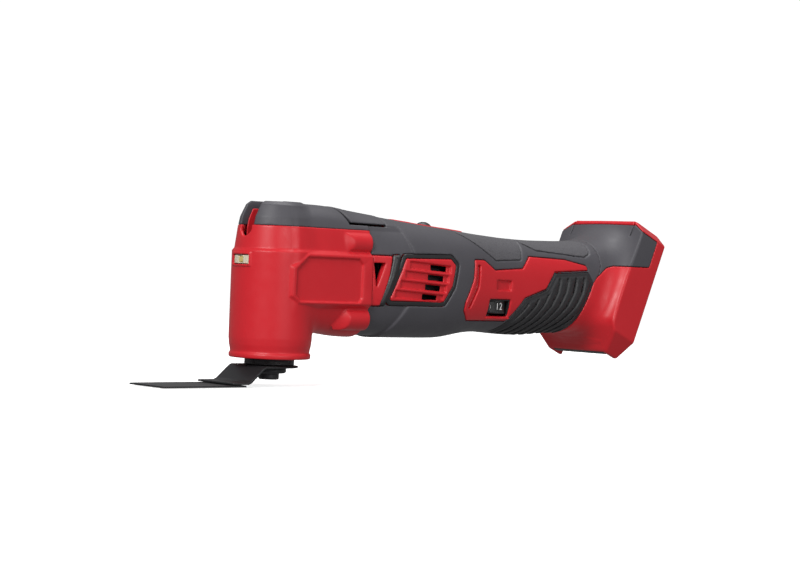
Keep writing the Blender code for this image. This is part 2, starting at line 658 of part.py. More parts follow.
def overmould(side):
    """Soft grey skin over the housing half, open where the red panels show."""
    skin = piece(f"{side}_overmould", "grey_rubber", half_shell(BODY, 0.0, GRIP_SKIN, side))
    for outline in (SIDE_PANEL, NOSE_PANEL, RIB_PANEL):
        cut(skin, panel_prism(outline, 0.0, side))
    cut(skin, panel_prism(VENT_PANEL, GAP / 2, side))
    x0, x1, half_w = SWITCH_PORT
    cut(skin, box(x0, x1, -half_w, half_w, 74.0, 95.0))
    cut(skin, box(50.0, 68.3 + GAP, -40, 40, 81.7, 100.0))
    if side == "right":
        for x, z in HOUSING_SCREWS:
            cut(skin, rod("Y", (x, 0, z), 8.0, 45.0, 3.3, sides=12))
    return skin


def vent_grille(side):
    """Red louvred vent set in the overmould's window."""
    grille = piece(f"{side}_vent_grille", "red_plastic",
                   half_shell(stations_between(57.4, 143.0), 0.2, GRIP_SKIN - 0.2, side))
    keep(grille, panel_prism(VENT_PANEL, -GAP / 2, side))
    for i in range(4):
        z = 58.5 - 6.4 * i
        slot = ((98.0 - 2 * i, z - 1.7), (114.0 - 2 * i, z - 1.7), (114.5 - 2 * i, z + 1.7),
                (98.5 - 2 * i, z + 1.7))
        cut(grille, sided(plate_xz(slot, -45.0, -9.0), side))


def rib_grip(side):
    """Black ribbed insert under the rear of the grip."""
    span = [st for st in BODY if st[0] >= 170.0]
    insert = piece(f"{side}_rib_grip", "black_rubber", half_shell(span, -0.4, GRIP_SKIN + 0.4, side))
    keep(insert, panel_prism(RIB_PANEL, -GAP, side))
    for i in range(6):
        x = 205.0 + 8.5 * i
        groove = ((x - 16.0, 19.0), (x - 14.2, 19.0), (x - 4.0, 33.0), (x + 1.0, 46.0), (x + 1.0, 53.0),
                  (x - 0.8, 53.0), (x - 0.8, 46.5), (x - 5.8, 33.8))
        band = cutter(f"{side}_rib_groove_{i}", sided(plate_xz(groove, -45.0, -9.0), side))
        keep(band, half_shell(span, -2.0, 2.7, side))
        boolean(insert, band, "DIFFERENCE")
    if side == "right":
        for x, z in HOUSING_SCREWS:
            cut(insert, rod("Y", (x, 0, z), 8.0, 45.0, 3.3, sides=12))


def housing_screws():
    for number, (x, z) in enumerate(HOUSING_SCREWS, 1):
        solid = turned("Y", (x, 0, z), ((0, 19.5), (3.0, 19.5), (3.0, 16.6), (1.5, 16.6),
                                        (1.5, -12.0), (0, -12.0)), 10)
        piece(f"housing_screw_{number}", "bright_steel", solid)


def controls():
    """Slide switch on top and the speed dial in its window."""
    top = ((90.2, 79.6), (147.8, 79.6), (147.8, 82.7), (90.2, 87.3))
    bezel = piece("switch_bezel", "red_plastic", plate_xz(top, -8.7, 8.7))
    cut(bezel, box(110.0, 127.6, -6.5, 6.5, 70, 95))
    knob = piece("switch_knob", "black_plastic", box(103.0, 134.5, -7.6, 7.6, 77.9, 79.3))
    add(knob, plate_xz(((116.3, 78.5), (116.3, 84.2), (119.0, 86.4), (124.0, 86.2), (127.3, 83.4),
                        (127.3, 78.5)), -6.2, 6.2))
    link = piece("switch_link", "black_plastic", box(118.0, 146.0, -3.0, 3.0, 75.6, 77.6))
    add(link, box(142.0, 162.0, -2.8, 2.8, 73.4, 76.0))
    add(link, box(157.0, 161.0, -2.6, 2.6, 70.0, 74.0))
    piece("switch_module", "black_plastic", box(144.0, 174.0, -9.0, 9.0, 55.0, 69.7, 0.5))
    pivot = (DIAL_X, DIAL_Y, DIAL_Z)
    dial = piece("speed_dial", "black_plastic",
                 rod("Z", pivot, -4.5, 4.5, DIAL_R, sides=32), pivot)
    cut(dial, rod("Z", pivot, -6.0, 6.0, 2.3, sides=12))
    pot = piece("dial_potentiometer", "black_plastic", rod("Z", pivot, 5.0, 11.0, 8.0, sides=20))
    add(pot, rod("Z", pivot, -4.0, 6.0, 2.0, sides=12))


def electronics():
    """Motor control board with its power transistors and heat sink."""
    board = piece("control_board", "circuit_green", box(180.0, 232.0, -15.0, 15.0, 46.0, 47.6))
    add(board, box(190.0, 206.0, -10.0, 10.0, 47.0, 52.0))
    piece("heat_sink", "cast_aluminium", fins())


def fins():
    """A finned block, as one comb-shaped outline."""
    points = [(-12.0, 53.0), (12.0, 53.0)]
    for i in range(5):
        y = 12.0 - 6.0 * i
        points += [(y, 62.0), (y - 2.0, 62.0)]
        if i < 4:
            points += [(y - 2.0, 56.0), (y - 6.0, 56.0)]
    points[-2:] = [(-12.0, 62.0)]
    return plate_yz(points, 188.0, 214.0)


# ---------------------------------------------------------------- battery foot

def foot_outline(side=0.0, top=0.0, bottom=0.0):
    """Front view of the foot as (sideways, up the foot), inset by the given amounts."""
    w = FOOT_HALF_W - side
    right = ((28.0 - side, FOOT_TOP - top), (w, 97.0 - top), (w, 24.3 + bottom),
             (27.0 - side, 11.8 + bottom))
    left = tuple((-y, s) for y, s in right[::-1])
    return left + right


def foot_slab(front, rear, side=0.0, top=0.0, bottom=0.0):
    return in_foot(plate_yz(foot_outline(side, top, bottom), front, rear))


def battery_foot():
    """Red foot shell: closed in front, above and at the sides, open behind and below."""
    foot = piece("battery_foot", "red_plastic", foot_slab(0.0, FOOT_DEPTH))
    chamfer = ((-5.0, 34.0), (0.0, 29.0), (11.0, 15.0), (24.0, 11.5), (24.0, 0.0), (-5.0, 0.0))
    cut(foot, in_foot(plate_xz(chamfer, -50, 50)))
    bay = ((-33.5, 27.5), (-33.5, 93.0), (-26.0, 98.5), (26.0, 98.5), (33.5, 93.0),
           (33.5, 27.5), (24.0, 17.0), (24.0, -5.0), (-24.0, -5.0), (-24.0, 17.0))
    cut(foot, in_foot(plate_yz(bay, 9.5, 40.0)))
    cut(foot, in_foot(box(-2.0, 12.0, -14.0, 14.0, 44.0, 76.0)))
    for side in ("left", "right"):
        add(foot, sided(in_foot(box(17.0, 20.5, -34.5, -29.0, 32.0, 88.0)), side))
    recess = cutter("foot_cover_recess", cover_band(-0.5, 17.5, -0.5, 2.0, COVER_EDGE_Z - GAP))
    boolean(recess, cutter("foot_cover_core", foot_slab(2.5, 40.0, 2.5)), "DIFFERENCE")
    boolean(foot, recess, "DIFFERENCE")
    return foot


def cover_band(front, rear, side, top, floor_z):
    """The soft cover's block: the foot's upper part, above a level line."""
    bm = foot_slab(front, rear, side, top)
    bmesh.ops.bisect_plane(bm, geom=bm.verts[:] + bm.edges[:] + bm.faces[:],
                           plane_co=(0.0, 0.0, floor_z), plane_no=(0.0, 0.0, -1.0),
                           clear_outer=True)
    bmesh.ops.holes_fill(bm, edges=[e for e in bm.edges if e.is_boundary])
    return bm


def foot_cover():
    """Grey soft cover around the upper front of the foot and its sides."""
    cover = piece("foot_cover", "grey_rubber", cover_band(0.0, 17.2, 0.0, 2.3, COVER_EDGE_Z))
    cut(cover, foot_slab(2.2, 40.0, 2.2))
    cut(cover, in_foot(box(-5.0, 10.0, -14.0, 14.0, 44.0, 76.0)))
    return cover


def terminals():
    """Black seat at the bottom of the battery bay, with its terminal block and contacts."""
    block = piece("terminal_block", "black_plastic", in_foot(box(9.8, 12.2, -23.5, 23.5, 17.3, 92.0)))
    add(block, in_foot(box(11.0, 20.0, -17.0, 17.0, 80.0, 91.0)))
    for i in range(2):
        y = -9.0 + 18.0 * i
        cut(block, in_foot(box(13.6, 18.4, y - 0.7, y + 0.7, 74.0, 88.0)))
        piece(f"contact_{i + 1}", "brass", in_foot(box(14.0, 18.0, y - 0.4, y + 0.4, 80.4, 87.7)))


# ---------------------------------------------------------------- assembly

def main():
    head_housing()
    head_top_cover()
    clamp_lever()
    lever_pin()
    gear_case()
    spindle_parts()
    blade()
    work_light()
    motor()
    front_plate()
    head_screws()
    for side in ("left", "right"):
        housing_half(side)
        overmould(side)
        vent_grille(side)
        rib_grip(side)
    housing_screws()
    controls()
    electronics()
    battery_foot()
    foot_cover()
    terminals()


main()
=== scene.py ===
"""The looks of a cordless oscillating multi tool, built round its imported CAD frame.

Every moulded piece is a signed distance field in tool millimetres (spindle axis at
X = Y = 0, rim under the head at Z = 0, -X to the front, left side at -Y), meshed on a
fine grid and drawn onto the exact surface. Insides keep their CAD solids.
"""
import math

import bmesh
import bpy
import numpy as np
from mathutils import Matrix, Vector


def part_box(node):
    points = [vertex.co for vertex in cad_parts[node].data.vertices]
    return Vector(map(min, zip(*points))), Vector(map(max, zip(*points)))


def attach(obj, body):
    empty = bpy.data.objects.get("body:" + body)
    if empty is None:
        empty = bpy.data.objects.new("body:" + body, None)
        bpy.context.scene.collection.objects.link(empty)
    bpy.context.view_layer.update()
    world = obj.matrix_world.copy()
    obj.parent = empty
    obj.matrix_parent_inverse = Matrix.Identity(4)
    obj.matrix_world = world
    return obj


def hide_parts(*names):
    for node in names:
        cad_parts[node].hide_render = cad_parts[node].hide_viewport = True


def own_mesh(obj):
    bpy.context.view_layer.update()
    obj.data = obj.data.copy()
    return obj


MM = 0.001

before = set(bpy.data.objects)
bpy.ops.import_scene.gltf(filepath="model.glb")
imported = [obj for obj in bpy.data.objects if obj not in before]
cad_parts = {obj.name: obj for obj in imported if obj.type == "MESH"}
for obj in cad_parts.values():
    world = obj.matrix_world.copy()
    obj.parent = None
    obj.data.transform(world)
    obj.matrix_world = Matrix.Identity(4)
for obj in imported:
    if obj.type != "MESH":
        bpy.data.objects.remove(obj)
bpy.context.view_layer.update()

# ---- driving sizes, from the CAD design

FOOT_TILT = math.radians(23.0)
TAN_TILT = math.tan(FOOT_TILT)
NECK_END = 57.0
BODY_START = 57.4
BOOT_TOP = 78.95
COVER_FLOOR = 79.05
MOTOR_Z = 50.0
PIVOT_Z = 85.0
SKIN = 1.5
BOSS_Y = 17.5
BOSS_Z = (25.5, 71.0)
HOUSING_SCREWS = ((150.0, 27.0), (190.0, 69.0), (240.0, 69.0), (240.0, 28.0))
DIAL = (168.5, -11.1, 34.5)
DIAL_R = 13.0
BLADE_TOP = -15.3
BLADE_HALF_W = 17.5
WALL = 2.5
SHELL_DEPTH = 4.3
SEAM = 0.15
INNER_SIDE = 9.0
SCREW_WELL_R = 3.3
PORT_X = (89.9, 148.1)
PORT_HALF_W = 9.0
BARREL_Y = 18.3
BARREL_R = 7.1
PLAQUE_BASE_Y = 24.6
PLAQUE_FACE_Y = 26.2
COLLAR_HOLE_R = 16.2
CHANNEL_HALF_W = 6.2
ARM_HALF_W = 5.6
ARM_WAIST = 1.1
CAM_LOW_R = 5.0
CAM_RISE = 3.0
CAM_HALF_W = 4.5
LEVER_TRAVEL = 110.0
PIN_R = 2.0
VENT_SLOTS = 4
VENT_PITCH = 6.25
VENT_TOP_Z = 58.2
RIB_PITCH = 7.4
RIB_GROOVE = 1.75
RIB_PROUD = 0.75
KNOB_X = 120.7
DIAL_SPACING = 54.0         # degrees from one number to the next
DIAL_STEPS = (12, 10, 8, 6, 4, 2)
TEETH = 25
TOOTH_DEPTH = 1.5
SAW_HALF_THICK = 0.5
ADAPTER_HALF_THICK = 0.62
WELD_Y = (-11.0, -3.7, 3.7, 11.0)
SEAT_HOLES = 8
SEAT_HOLE_R = 1.5
SPRING_TURNS = 3.0
SPRING_FOOT = 65.2
SPRING_PITCH = 3.067
SPRING_R = 5.6
SPRING_WIRE_R = 0.55

# Tool millimetres to the frame's metres: the saw plate's box and the spindle's give the shift
SAW_LOW, SAW_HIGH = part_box("saw_blade")
SPINDLE_LOW, SPINDLE_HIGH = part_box("spindle")
SHIFT = Vector(((SPINDLE_LOW.x + SPINDLE_HIGH.x) / 2, 0.0, SAW_HIGH.z - BLADE_TOP * MM))

# x, top, bottom, half width, lean towards the foot's tilt
BODY = np.array((
    (0.0, 93.5, 16.0, 24.5, 0.0), (33.0, 93.3, 15.3, 24.5, 0.0), (48.0, 91.3, 13.2, 24.7, 0.0),
    (57.0, 90.3, 13.0, 25.2, 0.0), (66.0, 89.4, 12.9, 27.4, 0.0), (86.0, 87.4, 12.9, 30.0, 0.0),
    (114.0, 85.0, 12.9, 30.5, 0.0), (130.0, 83.8, 13.0, 29.8, 0.0), (143.0, 82.8, 15.4, 28.4, 0.0),
    (157.0, 81.5, 17.2, 26.8, 0.0), (170.0, 80.7, 17.3, 25.8, 0.0), (186.0, 79.7, 16.0, 25.2, 0.0),
    (200.0, 79.3, 15.3, 25.0, 0.0), (214.0, 79.1, 16.3, 25.0, 0.0), (226.0, 79.4, 17.1, 25.4, 0.1),
    (240.0, 79.8, 17.3, 26.2, 0.45), (254.0, 81.0, 17.3, 27.2, 0.8), (273.2, 87.0, 17.0, 30.5, 1.0),
    (290.0, 93.0, 16.0, 34.0, 1.0),
))
SQUARENESS = 2.6

SIDE_PANEL = ((142.0, 64.4), (152.0, 64.4), (162.0, 58.3), (188.5, 60.0), (196.6, 68.2),
              (229.5, 67.3), (248.4, 63.9), (250.6, 60.2), (219.0, 58.3), (211.0, 46.8),
              (191.5, 40.5), (178.0, 25.0), (139.5, 25.0), (133.4, 31.5), (133.6, 37.0),
              (140.2, 51.0))
VENT_PANEL = ((82.0, 63.0), (120.0, 63.8), (124.0, 60.0), (121.0, 47.0), (114.0, 36.5),
              (70.5, 36.5))
NOSE_PANEL = ((50.0, 64.3), (72.0, 64.3), (70.0, 52.0), (64.5, 33.0), (50.0, 33.0))
RIB_PANEL = ((219.5, 57.6), (250.0, 59.2), (254.3, 52.4), (247.3, 36.0), (241.3, 21.0),
             (236.5, 9.0), (163.0, 9.0), (179.5, 24.5), (192.3, 39.9), (211.5, 46.2))
RELIEF_DEPTH = 1.3
STRAP = ((72.6, 64.6), (78.6, 65.2), (75.8, 54.0), (68.0, 33.6), (62.6, 33.0), (69.6, 52.0))
TOP_PAD = ((128.0, 88.0), (137.0, 80.7), (163.5, 63.9), (188.5, 65.2), (193.5, 78.0),
           (192.0, 88.0))
REAR_PAD = ((195.0, 88.0), (197.0, 76.2), (206.0, 71.9), (249.0, 69.0), (255.0, 71.5),
            (256.5, 76.5), (252.0, 90.0))
PLAQUE = ((-6.0, 37.5), (-6.0, 55.3), (6.0, 64.3), (60.0, 64.3), (60.0, 32.5), (0.0, 32.5))
PLAQUE_FIELD = ((-1.5, 38.3), (-1.5, 53.5), (6.6, 60.9), (46.0, 60.9), (49.0, 58.0), (49.0, 37.5),
                (47.0, 35.2), (1.5, 35.2))

VENT_NOSE = ((58.0, 59.6), (66.6, 59.6), (60.6, 43.6))
GROOVE = ((144.6, 60.8), (147.2, 60.6), (146.2, 47.0), (138.8, 32.6), (136.4, 34.4), (142.8, 47.0))
BADGE = ((163.6, 51.9), (177.6, 51.5), (177.6, 44.9), (163.6, 45.3))
WINDOW_X = (DIAL[0] - 10.9, DIAL[0] + 9.3)
WINDOW_Z = (DIAL[2] - 6.2, DIAL[2] + 4.9)


# ---- distance fields

def smin(a, b, k):
    """Union with a fillet of about k."""
    h = np.clip(0.5 + 0.5 * (b - a) / k, 0.0, 1.0)
    return b * (1 - h) + a * h - k * h * (1 - h)


def smax(a, b, k):
    """Intersection with a rounded edge of about k."""
    return -smin(-a, -b, k)


def carve(a, b, k=0.5):
    """a without b."""
    return smax(a, -b, k)


def block(x, y, z, x0, x1, y0, y1, z0, z1, r=0.0):
    """A box with edges rounded by r."""
    qx = np.abs(x - (x0 + x1) / 2) - (x1 - x0) / 2 + r
    qy = np.abs(y - (y0 + y1) / 2) - (y1 - y0) / 2 + r
    qz = np.abs(z - (z0 + z1) / 2) - (z1 - z0) / 2 + r
    outside = np.sqrt(np.maximum(qx, 0) ** 2 + np.maximum(qy, 0) ** 2 + np.maximum(qz, 0) ** 2)
    return outside + np.minimum(np.maximum(np.maximum(qx, qy), qz), 0) - r


def inset_outline(points, amount):
    """An outline moved in by amount, with mitred corners."""
    corners = [Vector(p) for p in points]
    after = corners[1:] + corners[:1]
    area = sum(a.x * b.y - b.x * a.y for a, b in zip(corners, after))
    turn = -1.0 if area > 0 else 1.0
    normals = []
    for a, b in zip(corners, after):
        edge = (b - a).normalized()
        normals.append(Vector((edge.y, -edge.x)) * turn)
    moved = []
    for i, corner in enumerate(corners):
        one, two = normals[i - 1], normals[i]
        moved.append(corner + (one + two) * (amount / (1.0 + one.dot(two))))
    return moved


def outline(a, b, points, r=0.0):
    """Distance to a flat outline in any two coordinates, corners rounded by r."""
    pts = [Vector(p) for p in points] if r == 0.0 else inset_outline(points, r)
    best = np.full(np.broadcast(a, b).shape, 1e9)
    inside = np.zeros(best.shape, bool)
    for p, q in zip(pts, pts[1:] + pts[:1]):
        ex, ez = q.x - p.x, q.y - p.y
        wx, wz = a - p.x, b - p.y
        t = np.clip((wx * ex + wz * ez) / (ex * ex + ez * ez), 0.0, 1.0)
        best = np.minimum(best, (wx - ex * t) ** 2 + (wz - ez * t) ** 2)
        if ez != 0.0:
            between = (b >= min(p.y, q.y)) & (b < max(p.y, q.y))
            inside ^= between & (a < p.x + (b - p.y) * ex / ez)
    return np.where(inside, -np.sqrt(best), np.sqrt(best)) - r


def rod(a, b, centre_a, centre_b, r):
    """An endless round rod across two coordinates."""
    return np.sqrt((a - centre_a) ** 2 + (b - centre_b) ** 2) - r


def turned(x, y, z, profile, cx=0.0, cy=0.0, r=0.0):
    """A profile of (radius, height) pairs turned about a vertical axis."""
    return outline(np.sqrt((x - cx) ** 2 + (y - cy) ** 2), z, profile, r)


# ---- the body's outer form

def smooth_table():
    """The body stations on a fine grid, smoothed so that no station shows as a crease."""
    step, spread = 0.5, 9.0
    xs = np.arange(-20.0, 310.0, step)
    reach = np.arange(-3 * spread, 3 * spread + step, step)
    weights = np.exp(-(reach / spread) ** 2 * 2)
    weights /= weights.sum()
    columns = []
    for i in range(1, 5):
        line = np.interp(xs, BODY[:, 0], BODY[:, i])
        padded = np.pad(line, len(reach) // 2, mode="edge")
        columns.append(np.convolve(padded, weights, mode="valid"))
    return xs, columns


TABLE_X, (TABLE_TOP, TABLE_BOTTOM, TABLE_HALF, TABLE_LEAN) = smooth_table()


def along(x, z):
    """The station that a point belongs to: sections lean more and more towards the foot."""
    s = x + 0.0 * z
    for _ in range(8):
        s = x - np.interp(s, TABLE_X, TABLE_LEAN) * TAN_TILT * (z - MOTOR_Z)
    return s


def body(x, y, z, power=SQUARENESS):
    """Distance from the tool's outer form."""
    s = along(x, z)
    top, bottom = np.interp(s, TABLE_X, TABLE_TOP), np.interp(s, TABLE_X, TABLE_BOTTOM)
    half_w = np.interp(s, TABLE_X, TABLE_HALF)
    half_h, centre = (top - bottom) / 2, (top + bottom) / 2
    u, v = np.abs(y) / half_w, np.abs(z - centre) / half_h
    f = np.maximum(u ** power + v ** power, 1e-9) ** (1 / power)
    slope_y = (u / f) ** (power - 1) / half_w
    slope_z = (v / f) ** (power - 1) / half_h
    return (f - 1.0) / np.sqrt(slope_y ** 2 + slope_z ** 2 + 1e-9)


# ---- meshing

def grid_edges():
    corners = [(i, j, k) for i in (0, 1) for j in (0, 1) for k in (0, 1)]
    return [(a, b) for a in corners for b in corners if sum(b) == sum(a) + 1
            and all(p <= q for p, q in zip(a, b))]


def surface_net(field, low, high, step):
    """Quads through a field's zero surface on a regular grid."""
    axes = [np.arange(a - 1.5 * step, b + 2.5 * step, step) for a, b in zip(low, high)]
    x, y, z = np.ix_(*axes)
    shape = tuple(len(a) for a in axes)
    values = np.ascontiguousarray(np.broadcast_to(field(x, y, z), shape))
    n = tuple(s - 1 for s in shape)
    total = np.zeros((*n, 3), np.float32)
    count = np.zeros(n, np.float32)
    for a, b in grid_edges():
        fa = values[a[0]:a[0] + n[0], a[1]:a[1] + n[1], a[2]:a[2] + n[2]]
        fb = values[b[0]:b[0] + n[0], b[1]:b[1] + n[1], b[2]:b[2] + n[2]]
        crossing = (fa < 0) != (fb < 0)
        t = np.where(crossing, fa / np.where(crossing, fa - fb, 1.0), 0.0)
        for axis in range(3):
            total[..., axis] += np.where(crossing, a[axis] + t * (b[axis] - a[axis]), 0.0)
        count += crossing
    active = count > 0
    index = np.full(n, -1, np.int64)
    index[active] = np.arange(active.sum())
    cells = np.argwhere(active)
    origin = np.array([a[0] for a in axes])
    verts = origin + (cells + total[active] / count[active][:, None]) * step
    quads = []
    inside = values < 0
    for axis in range(3):
        one, two = [a for a in range(3) if a != axis]
        near = inside[tuple(slice(0, -1) if a == axis else slice(1, -1) for a in range(3))]
        far = inside[tuple(slice(1, None) if a == axis else slice(1, -1) for a in range(3))]
        for flip, hit in ((False, near & ~far), (True, ~near & far)):
            at = np.argwhere(hit)
            at[:, one] += 1
            at[:, two] += 1
            ring = []
            for d1, d2 in ((0, 0), (-1, 0), (-1, -1), (0, -1)):
                cell = at.copy()
                cell[:, one] += d1
                cell[:, two] += d2
                ring.append(index[cell[:, 0], cell[:, 1], cell[:, 2]])
            if flip != (axis == 1):
                ring = ring[::-1]
            quads.append(np.stack(ring, 1))
    return verts, np.concatenate(quads)


def onto_surface(field, verts, step):
    """Newton steps that draw the net onto the field's exact zero surface."""
    eps = 0.04
    for _ in range(3):
        x, y, z = verts.T
        value = field(x, y, z)
        slope = np.stack([
            field(x + eps, y, z) - field(x - eps, y, z),
            field(x, y + eps, z) - field(x, y - eps, z),
            field(x, y, z + eps) - field(x, y, z - eps),
        ], 1) / (2 * eps)
        move = slope * (value / np.maximum((slope ** 2).sum(1), 0.2))[:, None]
        length = np.sqrt((move ** 2).sum(1))
        move *= np.minimum(1.0, 0.35 * step / np.maximum(length, 1e-9))[:, None]
        verts = verts - move
    return verts


TO_FRAME = Matrix.Translation(SHIFT) @ Matrix.Scale(MM, 4)


def finish_mesh(name, mesh, body_name, material, nodes=(), matrix=None):
    """A mesh in tool millimetres becomes a piece that rides on a body."""
    mesh.transform(TO_FRAME @ (matrix or Matrix.Identity(4)))
    mesh.shade_smooth()
    obj = bpy.data.objects.new(name, mesh)
    bpy.context.scene.collection.objects.link(obj)
    mesh.materials.append(material)
    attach(obj, body_name)
    if nodes:
        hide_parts(*nodes)
    return obj


def moulded(name, field, low, high, step, body_name, material, slot, nodes=(), matrix=None, keep=1.0):
    """A piece from a distance field inside the given box."""
    verts, quads = surface_net(field, low, high, step)
    verts = onto_surface(field, verts, step)
    mesh = bpy.data.meshes.new(name)
    mesh.vertices.add(len(verts))
    mesh.vertices.foreach_set("co", verts.astype(np.float32).ravel())
    mesh.loops.add(quads.size)
    mesh.loops.foreach_set("vertex_index", quads.astype(np.int32).ravel())
    mesh.polygons.add(len(quads))
    mesh.polygons.foreach_set("loop_start", np.arange(0, quads.size, 4, dtype=np.int32))
    mesh.update()
    mesh.validate()
    obj = finish_mesh(name, mesh, body_name, material, nodes, matrix)
    if keep < 1.0:
        thin_out(obj, keep)
    print(f"{name}: {len(obj.data.polygons)} faces")
    return obj


def curve_mesh(curve, weld):
    """A curve's or a text's mesh, open for editing, with its doubled vertices welded."""
    holder = bpy.data.objects.new(curve.name, curve)
    bpy.context.scene.collection.objects.link(holder)
    graph = bpy.context.evaluated_depsgraph_get()
    mesh = bpy.data.meshes.new_from_object(holder.evaluated_get(graph))
    bpy.data.objects.remove(holder, do_unlink=True)
    bm = bmesh.new()
    bm.from_mesh(mesh)
    bmesh.ops.remove_doubles(bm, verts=bm.verts, dist=weld)
    return mesh, bm


def thin_out(obj, share):
    """Collapse the flattest triangles."""
    mod = obj.modifiers.new("thin", "DECIMATE")
    mod.ratio = share
    graph = bpy.context.evaluated_depsgraph_get()
    mesh = bpy.data.meshes.new_from_object(obj.evaluated_get(graph))
    obj.modifiers.clear()
    obj.data = mesh


# ---- materials

def new_material(name):
    mat = bpy.data.materials.new(name)
    mat.use_nodes = True
    return mat, mat.node_tree, mat.node_tree.nodes["Principled BSDF"]


def settle(node, **values):
    """Sets a node's unlinked inputs, with _ for the spaces in their names."""
    for key, value in values.items():
        node.inputs[key.replace("_", " ")].default_value = value


def texture(tree, kind, scale, **values):
    node = tree.nodes.new(kind)
    coords = tree.nodes.new("ShaderNodeTexCoord")
    tree.links.new(coords.outputs["Object"], node.inputs["Vector"])
    settle(node, Scale=scale, **values)
    return node


def ramp(tree, source, low, high):
    node = tree.nodes.new("ShaderNodeMapRange")
    tree.links.new(source, node.inputs["Value"])
    settle(node, From_Min=0.3, From_Max=0.7, To_Min=low, To_Max=high)
    return node.outputs["Result"]


def two_colours(tree, source, one, two):
    mix = tree.nodes.new("ShaderNodeMix")
    mix.data_type = "RGBA"
    tree.links.new(source, mix.inputs["Factor"])
    mix.inputs["A"].default_value = (*one, 1.0)
    mix.inputs["B"].default_value = (*two, 1.0)
    return mix.outputs["Result"]


def bump(tree, source, depth_mm, below=None):
    node = tree.nodes.new("ShaderNodeBump")
    settle(node, Strength=1.0, Distance=depth_mm * MM)
    tree.links.new(source, node.inputs["Height"])
    if below is not None:
        tree.links.new(below, node.inputs["Normal"])
    return node.outputs["Normal"]


def plastic(name, dark, light, rough, grain_mm, depth_mm, rough_spread=0.06, specular=0.5):
    """Moulded plastic or rubber: a fine spark-eroded grain, slight mottling and uneven gloss."""
    mat, tree, shader = new_material(name)
    blotch = texture(tree, "ShaderNodeTexNoise", 45.0, Detail=4.0, Roughness=0.6)
    tree.links.new(two_colours(tree, blotch.outputs["Fac"], dark, light), shader.inputs["Base Color"])
    gloss = texture(tree, "ShaderNodeTexNoise", 160.0, Detail=3.0)
    tree.links.new(ramp(tree, gloss.outputs["Fac"], rough - rough_spread, rough + rough_spread),
                   shader.inputs["Roughness"])
    grain = texture(tree, "ShaderNodeTexNoise", 1000.0 / grain_mm, Detail=2.0, Roughness=0.55)
    tree.links.new(bump(tree, grain.outputs["Fac"], depth_mm), shader.inputs["Normal"])
    shader.inputs["Specular IOR Level"].default_value = specular
    return mat


def pebbled(name, dark, light, rough, cell_mm, depth_mm):
    """Soft grip rubber with a pebbled texture of small rounded cells."""
    mat, tree, shader = new_material(name)
    cells = texture(tree, "ShaderNodeTexVoronoi", 1000.0 / cell_mm)
    fine = texture(tree, "ShaderNodeTexNoise", 2600.0, Detail=2.0)
    tree.links.new(two_colours(tree, cells.outputs["Distance"], light, dark), shader.inputs["Base Color"])
    first = bump(tree, fine.outputs["Fac"], depth_mm * 0.3)
    invert = tree.nodes.new("ShaderNodeMath")
    invert.operation = "SUBTRACT"
    invert.inputs[0].default_value = 1.0
    tree.links.new(cells.outputs["Distance"], invert.inputs[1])
    tree.links.new(bump(tree, invert.outputs[0], depth_mm, first), shader.inputs["Normal"])
    shader.inputs["Roughness"].default_value = rough
    return mat


def metal(name, dark, light, rough, stretch, depth_mm, metallic=1.0):
    """Machined or rolled metal, with fine marks drawn out along one direction."""
    mat, tree, shader = new_material(name)
    coords = tree.nodes.new("ShaderNodeTexCoord")
    mapping = tree.nodes.new("ShaderNodeMapping")
    mapping.inputs["Scale"].default_value = stretch
    tree.links.new(coords.outputs["Object"], mapping.inputs["Vector"])
    marks = tree.nodes.new("ShaderNodeTexNoise")
    settle(marks, Scale=900.0, Detail=5.0)
    tree.links.new(mapping.outputs["Vector"], marks.inputs["Vector"])
    tree.links.new(two_colours(tree, marks.outputs["Fac"], dark, light), shader.inputs["Base Color"])
    tree.links.new(ramp(tree, marks.outputs["Fac"], rough - 0.08, rough + 0.1), shader.inputs["Roughness"])
    tree.links.new(bump(tree, marks.outputs["Fac"], depth_mm), shader.inputs["Normal"])
    shader.inputs["Metallic"].default_value = metallic
    return mat


def lens_material():
    mat, tree, shader = new_material("lens_clear")
    haze = texture(tree, "ShaderNodeTexNoise", 300.0, Detail=2.0)
    tree.links.new(ramp(tree, haze.outputs["Fac"], 0.03, 0.12), shader.inputs["Roughness"])
    settle(shader, Base_Color=(0.86, 0.80, 0.62, 1.0), Transmission_Weight=0.3, IOR=1.46)
    return mat


RED = plastic("red_plastic", (0.560, 0.012, 0.020), (0.620, 0.017, 0.026), 0.40, 0.35, 0.012, 0.06, 0.4)
GREY = plastic("grey_rubber", (0.062, 0.060, 0.069), (0.080, 0.077, 0.088), 0.50, 0.40, 0.030, 0.05, 0.4)
PAD = pebbled("grip_pad_rubber", (0.060, 0.058, 0.066), (0.105, 0.102, 0.112), 0.66, 0.75, 0.10)
# The rib grip's rubber is the grey grip rubber coloured near black: painted shade for the low, down-facing
# ribs. Its pebbled speckle is the rubber's own.
RIB_RUBBER_SHADED = pebbled("rib_rubber_painted_shade", (0.010, 0.010, 0.012), (0.030, 0.030, 0.033), 0.58, 0.60, 0.06)
BLACK = plastic("black_plastic", (0.012, 0.012, 0.013), (0.022, 0.022, 0.024), 0.42, 0.35, 0.015)
DARK_STEEL = metal("blackened_steel", (0.018, 0.018, 0.020), (0.060, 0.060, 0.064), 0.42, (1, 1, 1), 0.010,
                   0.55)
STEEL = metal("bright_steel", (0.46, 0.46, 0.48), (0.66, 0.66, 0.68), 0.28, (0.15, 1, 1), 0.004)
CAST = plastic("cast_aluminium", (0.42, 0.42, 0.44), (0.56, 0.56, 0.58), 0.50, 0.8, 0.05)
CAST.node_tree.nodes["Principled BSDF"].inputs["Metallic"].default_value = 1.0
COPPER = metal("copper", (0.60, 0.26, 0.13), (0.82, 0.42, 0.25), 0.34, (1, 0.2, 0.2), 0.01)
BRASS = metal("brass", (0.62, 0.46, 0.17), (0.85, 0.68, 0.32), 0.30, (1, 1, 0.15), 0.005)
